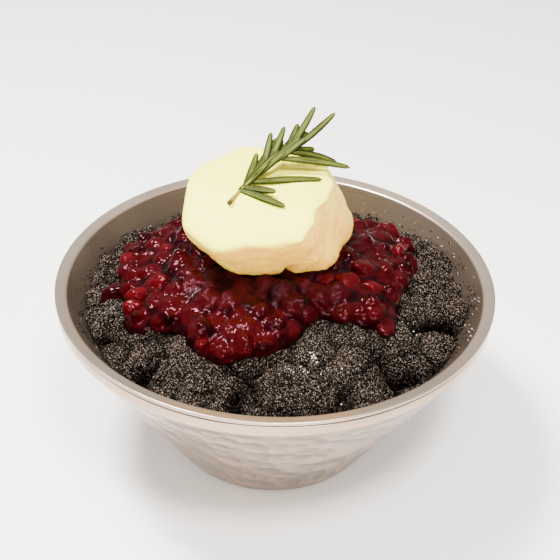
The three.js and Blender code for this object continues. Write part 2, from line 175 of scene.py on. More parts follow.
# Finer forms on top of those of the solids
CRUMB_WANDER, CRUMB_WANDER_PITCH = 3.0, 6.0
CRUMB_PEBBLES = (  # pitch, rise, depth of the cracks between, layer
    (21, 2.6, 2.4, 8),
    (8.5, 1.3, 0.9, 5),
    (3.6, 0.8, 0.2, 6),
)
CRACK_WIDTH = 0.11  # share of a pebble's pitch
GRIT_PITCH, GRIT_RISE = 1.3, 0.6
CLEFT_DEEPENING, CLEFT_NARROWING = 0.6, 2.2
TONE_LOW, TONE_HIGH = -6.0, 0.8  # heights over the even heap where the crumb's painted shade is full and where it ends
SHADE_FRONT = (0.3, 0.75)  # shares of the way round to the front where the cream's shade starts and is full
SHADE_REACH = (5.0, 24.0)  # distances from the cream where its shade is full and where it ends
GRAIN_FACES = ((0, 1, 2), (1, 3, 2), (3, 4, 2), (4, 0, 2), (1, 0, 5), (3, 1, 5), (4, 3, 5), (0, 4, 5))
GRAIN_ROUGHNESS, GRAIN_SQUASH = (0.7, 1.25), (0.65, 1.0)

# Numbers behind the scattered values
SCATTER_ACROSS, SCATTER_ALONG, SCATTER_SCALE = 127.1, 311.7, 43758.5453
LAYER_STEP = 300  # columns from one layer to the next
WANDER_LAYERS, GRIT_LAYER = (3, 4), 7
PEBBLE_DRAW = 57  # columns from the draw of a pebble's first place to that of its second
RIPPLE_SPREAD = (0.6, 1.5)  # least and most waves in a pitch
HALVINGS = 26


def scatter(i, j):
    """Repeatable value from 0 to 1 for a pair of whole numbers."""
    wave = np.sin(np.asarray(i) * SCATTER_ACROSS + np.asarray(j) * SCATTER_ALONG) * SCATTER_SCALE
    return wave - np.floor(wave)


def on_bearing(bearing, tilt=0.0):
    """The way that a bearing and a tilt point."""
    b, t = math.radians(bearing), math.radians(tilt)
    return np.array((math.cos(t) * math.cos(b), math.cos(t) * math.sin(b), math.sin(t)))


def smoothstep(x, low, high):
    """0 up to low and 1 from high, with a smooth rise between."""
    share = np.clip((x - low) / (high - low), 0, 1)
    return share * share * (3 - 2 * share)


def blend(a, b, share):
    """A value at a share of the way from one to another."""
    return a + (b - a) * share


def curve(start, pull, end, share):
    """A point on the curve between two points that a third pulls at."""
    return start * (1 - share) ** 2 + 2 * pull * share * (1 - share) + end * share**2


def hill(*places):
    """1 at the middle, and falling off smoothly to each side."""
    return np.exp(-sum(np.square(place) for place in places))


def unit(v):
    """Vectors brought to a length of 1."""
    return v / np.linalg.norm(v, axis=-1, keepdims=True)


def full_turn(sides):
    """Evenly spaced angles."""
    return np.linspace(0, 2 * math.pi, sides, endpoint=False)


def around(radius, angles, height):
    """Points at a radius, an angle and a height."""
    x, y = radius * np.cos(angles), radius * np.sin(angles)
    return np.stack((x, y, np.broadcast_to(height, x.shape)), axis=-1)


def bumps(x, y, layer=0):
    """Smooth bumps from 0 to 1 on a unit grid."""
    column, row = np.floor(x), np.floor(y)
    across = smoothstep(x - column, 0, 1)
    column = column + LAYER_STEP * layer
    near = blend(scatter(column, row), scatter(column + 1, row), across)
    far = blend(scatter(column, row + 1), scatter(column + 1, row + 1), across)
    return blend(near, far, smoothstep(y - row, 0, 1))


def pebbles(x, y, layer=0):
    """Distances to the nearest and next nearest of points scattered on a unit grid."""
    column, row = np.floor(x), np.floor(y)
    nearest = np.full(np.shape(x), np.inf)
    following = np.full(np.shape(x), np.inf)
    for i in (-1, 0, 1):
        for j in (-1, 0, 1):
            draw = column + i + LAYER_STEP * layer
            px = column + i + scatter(draw, row + j)
            py = row + j + scatter(row + j, draw + PEBBLE_DRAW)
            distance = np.hypot(x - px, y - py)
            following = np.minimum(following, np.maximum(nearest, distance))
            nearest = np.minimum(nearest, distance)
    return nearest, following


def ripples(points, pitch, seed, waves=14):
    """Smooth bumps in space, from about -1 to 1."""
    draw = np.random.default_rng(seed)
    ways = unit(draw.normal(size=(waves, 3))) * draw.uniform(*RIPPLE_SPREAD, (waves, 1))
    phases = draw.uniform(0, 2 * math.pi, waves)
    return np.sin(points @ ways.T * (2 * math.pi / pitch) + phases).sum(axis=-1) / math.sqrt(waves)


def liner_radius(height):
    """Radius of the inner wall's face."""
    return LINER_FLOOR_RADIUS + LINER_LEAN * (height - LINER_FLOOR)


def place_from(bearing, radius, turn, x, y):
    """Places along and across a line that is turned from a bearing, from a middle on that bearing."""
    middle = on_bearing(bearing) * radius
    c, s = math.cos(math.radians(bearing + turn)), math.sin(math.radians(bearing + turn))
    dx, dy = x - middle[0], y - middle[1]
    return dx * c + dy * s, dy * c - dx * s


def even_crumb(x, y):
    """Height of the crumb's heap without its lumps."""
    return CRUMB_EDGE + CRUMB_RISE * (1 - (np.hypot(x, y) / liner_radius(CRUMB_EDGE)) ** 2)


def crumb_height(x, y):
    """Height of the crumb's main form."""
    lumpy = smoothstep(np.hypot(x, y), LUMPS_FROM, LUMPS_TO)
    height = even_crumb(x, y)
    for pitch, rise in CRUMB_LUMPS:
        height = height + lumpy * rise * (bumps(x / pitch, y / pitch) - 0.5)
    for bearing, distance, size, rise in CLUMPS:
        along, across = place_from(bearing, distance, 0, x, y)
        height = height + rise * hill(along / size, across / size)
    for bearing, distance, turn, length, width, depth in CLEFTS:
        along, across = place_from(bearing, distance, turn, x, y)
        height = height - depth * hill(along / length, across / width)
    return height


def crumb_surface(x, y):
    """Height of the crumb with its clumps and grains."""
    height = crumb_height(x, y)
    u, v = x / CRUMB_WANDER_PITCH, y / CRUMB_WANDER_PITCH
    wander = [CRUMB_WANDER * (bumps(u, v, layer) - 0.5) for layer in WANDER_LAYERS]
    wander_x, wander_y = x + wander[0], y + wander[1]
    lumpy = smoothstep(np.hypot(x, y), LUMPS_FROM, LUMPS_TO)
    for pitch, rise, crack, layer in CRUMB_PEBBLES:
        nearest, following = pebbles(wander_x / pitch, wander_y / pitch, layer)
        height = height + lumpy * rise * (0.5 - nearest)
        height = height - lumpy * crack * hill((following - nearest) / CRACK_WIDTH)
    height = height + GRIT_RISE * (bumps(x / GRIT_PITCH, y / GRIT_PITCH, GRIT_LAYER) - 0.5)
    for bearing, distance, turn, length, width, depth in CLEFTS:
        along, across = place_from(bearing, distance, turn, wander_x, wander_y)
        height = height - CLEFT_DEEPENING * depth * hill(along / length, CLEFT_NARROWING * across / width)
    return height


def crumb_tone(x, y):
    """Painted light on the crumb: 0, in full painted shade deep in a cleft, to 1 on top of a clump."""
    return smoothstep(crumb_surface(x, y) - even_crumb(x, y), TONE_LOW, TONE_HIGH)


def crumb_edge(angles, surface):
    """Radius where a crumb surface meets the inner wall, found by halving."""
    inside, outside = np.zeros_like(angles), np.full_like(angles, RIM_RADIUS - RIM_WIDTH)
    for _ in range(HALVINGS):
        radius = (inside + outside) / 2
        fits = liner_radius(surface(radius * np.cos(angles), radius * np.sin(angles))) - GAP > radius
        inside, outside = np.where(fits, radius, inside), np.where(fits, outside, radius)
    return inside


def compote_radius(angle):
    """Radius of the compote's outline."""
    radius = COMPOTE_RADIUS
    for bearing, width, reach in COMPOTE_LOBES:
        turn = np.mod(angle - math.radians(bearing) + math.pi, 2 * math.pi) - math.pi
        radius = radius + reach * hill(turn / math.radians(width))
    return radius


def sauce_height(x, y, share):
    """Height of the sauce at a share of the way out to its outline."""
    return crumb_height(x, y) + COMPOTE_EDGE + (COMPOTE_MIDDLE - COMPOTE_EDGE) * (1 - share * share)


def cream_reach(directions):
    """Distance from the cream's middle to its surface."""
    pull = 0.0
    for bearing, tilt, reach in CREAM_FACES:
        facing = np.maximum(0, directions @ on_bearing(bearing, tilt))
        pull = pull + (facing / reach) ** CREAM_ROUNDING
    return pull ** (-1 / CREAM_ROUNDING)


def cream_shade(points):
    """0 in the open to 1 close under the front of the cream."""
    away = points - CREAM_CENTRE
    distance = np.linalg.norm(away, axis=-1)
    space = distance - cream_reach(away / distance[:, None])
    front = -away[:, 1] / np.hypot(away[:, 0], away[:, 1])
    return smoothstep(front, *SHADE_FRONT) * (1 - smoothstep(space, *SHADE_REACH))


def clear_of_cream(point, clearance):
    """A point moved straight out from the cream's middle until it clears the cream."""
    direction = point - CREAM_CENTRE
    distance = np.linalg.norm(direction)
    direction = direction / distance
    least = float(cream_reach(direction[None])[0]) + clearance
    return CREAM_CENTRE + direction * least if distance < least else point


# Meshes


def add_mesh(name, points, triangles, **marks):
    """A piece from points in millimetres and triangles, with marks as values at its points."""
    mesh = bpy.data.meshes.new(name)
    points = np.asarray(points, np.float32) * MM
    triangles = np.asarray(triangles, np.int32)
    mesh.vertices.add(len(points))
    mesh.vertices.foreach_set("co", points.ravel())
    mesh.loops.add(triangles.size)
    mesh.loops.foreach_set("vertex_index", triangles.ravel())
    mesh.polygons.add(len(triangles))
    mesh.polygons.foreach_set("loop_start", np.arange(0, triangles.size, 3, dtype=np.int32))
    for mark, values in marks.items():
        add_mark(mesh, mark, values)
    mesh.update(calc_edges=True)
    mesh.shade_smooth()
    piece = bpy.data.objects.new(name, mesh)
    bpy.context.scene.collection.objects.link(piece)
    return piece


def add_mark(mesh, mark, values):
    """A value for each point of a mesh, which its finish reads."""
    layer = mesh.attributes.new(mark, "FLOAT", "POINT")
    layer.data.foreach_set("value", np.asarray(values, np.float32).ravel())


def ring_triangles(rings, sides, start=0):
    """Triangles between rings of points that follow each other."""
    ring, side = np.meshgrid(np.arange(rings - 1), np.arange(sides), indexing="ij")
    here = start + ring * sides + side
    beside = start + ring * sides + (side + 1) % sides
    quads = np.stack((here, here + sides, beside + sides, beside), axis=-1).reshape(-1, 4)
    return np.vstack((quads[:, [0, 1, 2]], quads[:, [0, 2, 3]]))


def fan_triangles(middle, first, sides, outward):
    """Triangles from one point to a ring; outward says which way the ring is followed."""
    side = np.arange(sides)
    here, beside = first + side, first + (side + 1) % sides
    corners = (here, beside) if outward else (beside, here)
    return np.stack((np.full(sides, middle), *corners), axis=-1)


def closed_rings(rings, first, last):
    """Points and triangles of a closed skin over rings, with a point before and after them."""
    rings = np.asarray(rings, float)
    count, sides = rings.shape[:2]
    points = np.vstack((rings.reshape(-1, 3), first, last))
    triangles = np.vstack(
        (
            ring_triangles(count, sides),
            fan_triangles(count * sides, 0, sides, True),
            fan_triangles(count * sides + 1, (count - 1) * sides, sides, False),
        )
    )
    return points, triangles


def spun(profile, sides):
    """Points and triangles of a profile of radii and heights, from the axis and back to it."""
    profile = np.asarray(profile, float)
    rings = around(profile[1:-1, :1], full_turn(sides), profile[1:-1, 1:])
    points, triangles = closed_rings(rings, (0, 0, profile[0, 1]), (0, 0, profile[-1, 1]))
    return points, triangles[:, ::-1]


def arc(centre, radius, start, end, steps):
    angles = np.radians(np.linspace(start, end, steps + 1))
    return np.stack((centre[0] + radius * np.cos(angles), centre[1] + radius * np.sin(angles)), axis=-1)


def line(start, end, steps):
    shares = np.linspace(0, 1, steps + 1)[:, None]
    return np.asarray(start, float) * (1 - shares) + np.asarray(end, float) * shares


def triples(items, name, kind=np.float32):
    """Three values of every item of a mesh, as rows."""
    found = np.empty(3 * len(items), kind)
    items.foreach_get(name, found)
    return found.reshape(-1, 3)


def ball(divisions):
    """Points and triangles of a round ball of radius 1."""
    work = bmesh.new()
    bmesh.ops.create_icosphere(work, subdivisions=divisions, radius=1.0)
    points = np.array([v.co[:] for v in work.verts])
    triangles = np.array([[v.index for v in f.verts] for f in work.faces])
    work.free()
    return unit(points), triangles


def turns(draw, count):
    """Random turns as matrices."""
    w, x, y, z = unit(draw.normal(size=(count, 4))).T
    return np.stack(
        (
            np.stack((1 - 2 * (y * y + z * z), 2 * (x * y - z * w), 2 * (x * z + y * w)), axis=-1),
            np.stack((2 * (x * y + z * w), 1 - 2 * (x * x + z * z), 2 * (y * z - x * w)), axis=-1),
            np.stack((2 * (x * z - y * w), 2 * (y * z + x * w), 1 - 2 * (x * x + y * y)), axis=-1),
        ),
        axis=1,
    )


def joined(points, triangles):
    """Copies of one mesh, given as an array of their points, as one mesh."""
    count, size = points.shape[:2]
    steps = np.arange(count)[:, None, None] * size
    return points.reshape(-1, 3), (triangles[None] + steps).reshape(-1, 3)


def grains(draw, centres, sizes):
    """Angular eight-sided grains of the given sizes at the given places."""
    points = np.vstack((np.eye(3), -np.eye(3)))
    count = len(centres)
    rough = draw.uniform(*GRAIN_ROUGHNESS, (count, len(points), 1))
    squash = draw.uniform(*GRAIN_SQUASH, (count, 1, 3))
    shapes = np.einsum("nij,npj->npi", turns(draw, count), points[None] * rough * squash)
    return joined(centres[:, None] + shapes * (np.asarray(sizes) / 2)[:, None, None], np.array(GRAIN_FACES))


# Finishes


class Wire:
    """A shader socket that takes part in Python arithmetic."""

    def __init__(self, finish, socket):
        self.finish = finish
        self.socket = socket

    def _math(self, operation, a, b):
        return self.finish.node("ShaderNodeMath", {0: a, 1: b}, operation=operation)

    def __add__(self, other):
        return self._math("ADD", self, other)

    def __sub__(self, other):
        return self._math("SUBTRACT", self, other)

    def __rsub__(self, other):
        return self._math("SUBTRACT", other, self)

    def __mul__(self, other):
        return self._math("MULTIPLY", self, other)

    __radd__ = __add__
    __rmul__ = __mul__


class Nodes:
    """A node tree, with one method that makes any node."""

    noise_roughness = 0.55
    # Places of the sockets for colours on a Mix node
    mix_share, mix_first, mix_second, mix_result = 0, 6, 7, 2

    def __init__(self, tree):
        self.tree = tree

    def node(self, kind, sockets=None, output=0, stops=None, **settings):
        """A node of any kind: its settings first, then the values or wires of its sockets."""
        made = self.tree.nodes.new(kind)
        for name, value in settings.items():
            setattr(made, name, value)
        for place, (position, colour) in enumerate(stops or ()):
            ramp = made.color_ramp.elements
            stop = ramp[place] if place < 2 else ramp.new(position)
            stop.position, stop.color = position, (*colour, 1.0)
        for name, value in (sockets or {}).items():
            self.feed(made.inputs[name], value)
        return Wire(self, made.outputs[output])

    def feed(self, socket, value):
        """Links a wire to a socket, or sets its value."""
        if isinstance(value, Wire):
            self.tree.links.new(value.socket, socket)
        else:
            socket.default_value = value

    def place(self):
        """Places on the piece, in metres."""
        return self.node("ShaderNodeTexCoord", output="Object")

    def noise(self, scale, detail=3.0, where=None):
        """Cloudy noise, at places on the piece unless others are given."""
        sockets = {"Scale": scale, "Detail": detail, "Roughness": self.noise_roughness}
        return self.node("ShaderNodeTexNoise", {"Vector": where or self.place(), **sockets})

    def mark(self, name):
        """A value that the mesh has at its points."""
        return self.node("ShaderNodeAttribute", output=2, attribute_name=name)

    def span(self, value, low, high):
        """A value carried from low..high to 0..1, smoothly and with its ends held."""
        sockets = {"Value": value, "From Min": low, "From Max": high}
        return self.node("ShaderNodeMapRange", sockets, interpolation_type="SMOOTHSTEP")

    def mix(self, a, b, share):
        """A colour at a share of the way from one colour to another."""
        a, b = (c if isinstance(c, Wire) else (*c[:3], 1.0) for c in (a, b))
        sockets = {self.mix_share: share, self.mix_first: a, self.mix_second: b}
        return self.node("ShaderNodeMix", sockets, output=self.mix_result, data_type="RGBA")


class Finish(Nodes):
    """A material and the nodes that feed its shader."""

    def __init__(self, name, **constants):
        self.material = bpy.data.materials.new(name)
        self.material.use_nodes = True
        super().__init__(self.material.node_tree)
        self.shader = self.tree.nodes["Principled BSDF"]
        for socket, value in constants.items():
            self.shader.inputs[socket.replace("_", " ").title().replace("Ior", "IOR")].default_value = value

    def bump(self, height, distance, strength=1.0):
        """Fine relief, with its height in metres at the top of the wave."""
        sockets = {"Height": height, "Distance": distance, "Strength": strength}
        self.feed(self.shader.inputs["Normal"], self.node("ShaderNodeBump", sockets))

    def colour(self, value):
        self.feed(self.shader.inputs["Base Color"], value)

    def roughness(self, value):
        self.feed(self.shader.inputs["Roughness"], value)

    def varied(self, pattern, least, most, low=0.3, high=0.8):
        """A value from least to most that follows a pattern between low and high."""
        return blend(least, most, self.span(pattern, low, high))


def spun_places(finish, across, along):
    """Places on a spun sheet: stretched far round the axis, so that marks run round it."""
    x, y, z = (finish.node("ShaderNodeSeparateXYZ", {0: finish.place()}, output=axis) for axis in range(3))
    angle = finish.node("ShaderNodeMath", {0: y, 1: x}, operation="ARCTAN2")
    return finish.node("ShaderNodeCombineXYZ", {0: angle * along, 1: z * across, 2: 0.0})


WET = {"specular_ior_level": 0.1, "specular_tint": (1.0, 0.42, 0.52, 1.0)}
SHADED_ROUGHNESS = 0.6  # of wet surfaces close under the cream
WARMER = (1.06, 0.93, 0.82)  # shares of red, green and blue left in a warmer colour
LEAF_MARKS = ("across", "along", "woody", "tone")
LEAF_STREAKS = (9.0, 4.0, 60.0)  # streaks across and along a leaf, and the step from leaf to leaf


def darker(colour, share):
    """A colour with a share of its light."""
    return [value * share for value in colour]


def steel_finish(name, colour, dull, roughness, metallic):
    """Brushed steel, darker where the mark says so, which is painted shade; clouds and brushing lines dull it
    in places too.
    """
    cloud_share, line_share = 0.25, 0.12
    finish = Finish(name, metallic=metallic, specular_ior_level=0.2)
    brushing = finish.noise(scale=1.0, detail=4.0, where=spun_places(finish, across=1400.0, along=1.2))
    clouds = finish.span(finish.noise(scale=26.0, detail=4.0), low=0.35, high=0.75)
    lines = finish.span(brushing, low=0.35, high=0.7)
    # The mark is painted shade towards the second colour; the clouds and brushing lines are the steel's own.
    finish.colour(finish.mix(colour, dull, clouds * cloud_share + lines * line_share + finish.mark("dull")))
    finish.roughness(finish.varied(brushing, *roughness, low=0.25))
    finish.bump(brushing, distance=0.00002, strength=0.2)
    return finish.material


def crumb_finish(dark, light, speckle):
    """Dry crumb with pale specks, darkened deep in the clefts by painted shade."""
    grain_share, speckle_share = 0.7, 0.8
    finish = Finish("cookie crumb", specular_ior_level=0.0)
    grain = finish.noise(scale=900.0, detail=2.0)
    patch = finish.noise(scale=90.0)
    speckles = finish.span(finish.noise(scale=1800.0, detail=1.0), low=0.6, high=0.66)
    brown = finish.mix(dark, light, finish.span(blend(patch, grain, grain_share), low=0.38, high=0.68))
    lit = finish.mix(brown, speckle, speckles * speckle_share)
    # Painted shade: the mark 'tone' takes the crumb to its darkest colour deep in the clefts.
    finish.colour(finish.mix(dark, lit, finish.mark("tone")))
    finish.roughness(finish.varied(grain, least=0.7, most=0.95, low=0.2))
    finish.bump(grain, distance=0.0002, strength=0.8)
    return finish.material


def grain_finish(name, dark, light):
    """Dry grains, each with a shade of its own, warmer in places, and darker deep in the clefts by painted
    shade.
    """
    island_share, least_light = 0.8, 0.15
    finish = Finish(name, specular_ior_level=0.0)
    island = finish.node("ShaderNodeNewGeometry", output="Random Per Island")
    grit = finish.noise(scale=2500.0, detail=2.0)
    shade = finish.span(blend(grit, island, island_share), low=0.2, high=0.95)
    baked = finish.span(finish.noise(scale=45.0, detail=2.0), low=0.42, high=0.66)
    warm = [value * share for value, share in zip(light, WARMER)]
    # Painted shade: grains deep in the clefts keep only the least light.
    lit = shade * blend(least_light, 1.0, finish.mark("tone"))
    finish.colour(finish.mix(dark, finish.mix(light, warm, baked), lit))
    finish.roughness(finish.varied(grit, least=0.65, most=0.9, low=0.2))
    finish.bump(grit, distance=0.0001, strength=0.6)
    return finish.material


def sauce_finish(colour, thin):
    """Thick wet sauce, brighter where it is thin over a berry."""
    berry_share, depth_share, pulp_share, fold_share = 0.6, 0.7, 0.3, 0.4
    finish = Finish("compote sauce", **WET)
    pulp = finish.noise(scale=200.0)
    depth = finish.noise(scale=110.0, detail=2.0)
    folds = finish.noise(scale=480.0, detail=2.0)
    glow = finish.mark("berry") * berry_share + depth * depth_share + pulp * pulp_share
    finish.colour(finish.mix(colour, thin, finish.span(glow, low=0.45, high=1.15)))
    gloss = finish.varied(pulp, least=0.07, most=0.19)
    finish.roughness(blend(gloss, SHADED_ROUGHNESS, finish.mark("shade")))
    finish.bump(blend(pulp, folds, fold_share), distance=0.0009, strength=0.55)
    return finish.material


def berry_finish(dark, bright):
    """Wet berry skins, each with a shade of its own."""
    skin_share = 0.4
    finish = Finish("cooked berry", **WET)
    island = finish.node("ShaderNodeNewGeometry", output="Random Per Island")
    skin = finish.noise(scale=420.0)
    finish.colour(finish.mix(dark, bright, finish.span(blend(island, skin, skin_share), low=0.2, high=0.75)))
    gloss = finish.varied(skin, least=0.08, most=0.23)
    finish.roughness(blend(gloss, SHADED_ROUGHNESS, finish.mark("shade")))
    finish.bump(skin, distance=0.0004, strength=0.5)
    return finish.material


def cream_finish(colour, shade):
    """Soft cream, peach and darker where the mark says so, in blotches darker still: painted shade on the
    torn side away from the light, on faces that lean down, on the underside and in the tears.
    """
    torn_share, cloud_share, stain_share, stain_shade = 0.8, 0.35, 0.5, 0.55
    depths = (0.006, 0.004, 0.002)
    finish = Finish("cream", subsurface_weight=0.2, subsurface_radius=depths, specular_ior_level=0.35)
    finish.shader.inputs["Subsurface Scale"].default_value = 1.0
    torn = finish.mark("torn")
    cloud = finish.noise(scale=55.0, detail=4.0)
    crystals = finish.noise(scale=700.0)
    # Painted shade: the mark takes the cream towards its shade colour, in blotches darker still.
    tone = finish.span(torn * torn_share + cloud * cloud_share, low=0.15, high=0.95)
    stains = finish.span(finish.noise(scale=240.0, detail=4.0), low=0.52, high=0.72) * torn
    plain = finish.mix(colour, shade, tone)
    finish.colour(finish.mix(plain, darker(shade, stain_shade), stains * stain_share))
    finish.roughness(finish.varied(crystals, least=0.45, most=0.65))
    finish.bump(crystals, distance=0.0001, strength=0.4)
    return finish.material


def leaf_finish(dark, light, midrib, stem, cut):
    """Streaked leaves with a paler stripe to each side of the middle, and the stem's bark."""
    streak_share, edge_share = 0.6, 0.85
    finish = Finish("rosemary leaf", specular_ior_level=0.08)
    across, along, woody, tone = (finish.mark(name) for name in LEAF_MARKS)
    places = {axis: mark * LEAF_STREAKS[axis] for axis, mark in enumerate((across, along, tone))}
    streaks = finish.noise(scale=1.0, where=finish.node("ShaderNodeCombineXYZ", places))
    green = finish.mix(dark, light, finish.span(blend(tone, streaks, streak_share), low=0.3, high=0.7))
    stripe = finish.span(across, low=0.02, high=0.12) * (1 - finish.span(across, low=0.3, high=0.6))
    leaf = finish.mix(green, midrib, stripe * finish.span(streaks, low=0.25, high=0.65))
    edged = finish.mix(leaf, dark, finish.span(across, low=0.62, high=0.95) * edge_share)
    bark = finish.mix(stem, cut, finish.span(woody, low=1.2, high=1.9))
    finish.colour(finish.mix(edged, bark, finish.span(woody, low=0.4, high=0.6)))
    finish.roughness(finish.varied(streaks, least=0.42, most=0.62))
    finish.bump(streaks, distance=0.00012, strength=0.5)
    return finish.material


def floor_finish(colour):
    """Plain floor, very slightly cloudy."""
    patch_shade = 0.985
    finish = Finish("pale floor", roughness=0.85, specular_ior_level=0.1)
    tone = finish.span(finish.noise(scale=3.0, detail=2.0), low=0.3, high=0.7)
    finish.colour(finish.mix(colour, darker(colour, patch_shade), tone))
    return finish.material


def settle(piece, finish, slot, *nodes):
    """Gives a piece its finish, the solids that it stands for and the body that it rides; the slot is not
    used.
    """
    piece.data.materials.append(finish)
    if nodes:
        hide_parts(*nodes)
    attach(piece, BODY)
    return piece


# Settings


def length(name, description, default):
    """A setting in metres."""
    return FloatProperty(name=name, description=description, default=default, unit="LENGTH", precision=5)


def count(name, description, default):
    """A setting that counts."""
    return IntProperty(name=name, description=description, default=default)


def paint(name, description, default):
    """A setting for a colour."""
    return FloatVectorProperty(
        name=name, description=description, default=default, subtype="COLOR", size=3, min=0.0, max=1.0
    )


class BowlSettings(bpy.types.PropertyGroup):
    """The steel bowl."""

    dimple_length: length("Dimple length", "Length of a hammer mark round the wall", 0.0068)
    dimple_height: length("Dimple height", "Height of a hammer mark up the wall", 0.0086)
    dimple_depth: length("Dimple depth", "Depth of a hammer mark", 0.0005)
    shell: paint("Outer steel", "Colour of the outer wall", (0.47, 0.325, 0.235))
    # Colour of the outer wall's painted shade, low down, at the foot and on one side of each hammer mark, and
    # of its duller brushing and clouds
    dull_shell: paint("Dull outer steel", "Colour of the less polished outer wall", (0.16, 0.125, 0.098))
    rim: paint("Rim steel", "Colour of the rim", (0.43, 0.345, 0.275))
    # Colour of the inner wall's painted shade, dark for the shade and dark food that the wall mirrors
    liner: paint("Inner steel", "Colour of the inner wall", (0.165, 0.123, 0.092))


class CrumbSettings(bpy.types.PropertyGroup):
    """The cookie crumb."""

    grain_least: length("Smallest grain", "Size of the smallest grains", 0.00035)
    grain_most: length("Largest grain", "Size of the largest grains", 0.00095)
    dark_grains: count("Dark grains", "Number of dark grains", 24000)
    pale_grains: count("Pale grains", "Number of pale grains", 24000)
    dark: paint("Dark crumb", "Colour of the darkest crumb", (0.0008, 0.0005, 0.0003))
    brown: paint("Brown crumb", "Colour of the lighter crumb", (0.014, 0.0103, 0.0078))
    pale: paint("Pale crumb", "Colour of the palest crumb", (0.2, 0.168, 0.143))
    speckle: paint("Speckles", "Colour of the pale specks in the crumb", (0.125, 0.104, 0.088))
    fleck: paint("White flecks", "Colour of the white flecks", (0.78, 0.76, 0.72))


class CompoteSettings(bpy.types.PropertyGroup):
    """The berry compote."""

    fill_tries: count("Gap filling", "Tries at fitting small berries in gaps", 2500)
    voxel: length("Sauce detail", "Size of the sauce's smallest detail", 0.0008)
    sauce: paint("Sauce", "Colour of deep sauce", (0.0046, 0.0002, 0.0006))
    thin_sauce: paint("Thin sauce", "Colour of sauce over a berry", (0.0225, 0.0007, 0.0014))
    berry_dark: paint("Dark berry", "Colour of the darkest berries", (0.011, 0.0003, 0.0008))
    berry_bright: paint("Bright berry", "Colour of the brightest berries", (0.042, 0.0012, 0.0023))


class CreamSettings(bpy.types.PropertyGroup):
    """The scoop of cream."""

    tear_depth: length("Tear depth", "Depth of the tears low on the scoop", 0.0012)
    cream: paint("Cream", "Colour of the smooth faces", (0.98, 0.94, 0.06))
    # Colour of the cream's painted shade, on the torn side, on faces that lean down, on the underside and in
    # the tears
    shade: paint("Torn cream", "Colour of the torn faces", (0.98, 0.53, 0.05))


class SprigSettings(bpy.types.PropertyGroup):
    """The sprig of rosemary."""

    leaf_dark: paint("Dark leaf", "Colour of a leaf's rolled edges", (0.008, 0.0125, 0.0004))
    leaf_light: paint("Light leaf", "Colour of a leaf's face", (0.023, 0.032, 0.0015))
    midrib: paint("Midrib", "Colour along the middle of a leaf", (0.082, 0.093, 0.013))
    stem: paint("Stem", "Colour of the stem", (0.19, 0.16, 0.02))
    cut: paint("Cut end", "Colour of the stem's cut end", (0.05, 0.03, 0.008))


class StageSettings(bpy.types.PropertyGroup):
    """Floor, lights and camera."""

    floor: paint("Floor", "Colour of the floor", (0.93, 0.93, 0.93))
    key_power: FloatProperty(
        name="Key light", description="Power of the main light", default=36.0, unit="POWER"
    )
    sky: FloatProperty(name="Sky", description="Strength of the light from all round", default=0.85)


SETTINGS = {
    "dessert_bowl": BowlSettings,
    "dessert_crumb": CrumbSettings,
    "dessert_compote": CompoteSettings,
    "dessert_cream": CreamSettings,
    "dessert_sprig": SprigSettings,
    "dessert_stage": StageSettings,
}


# Pieces


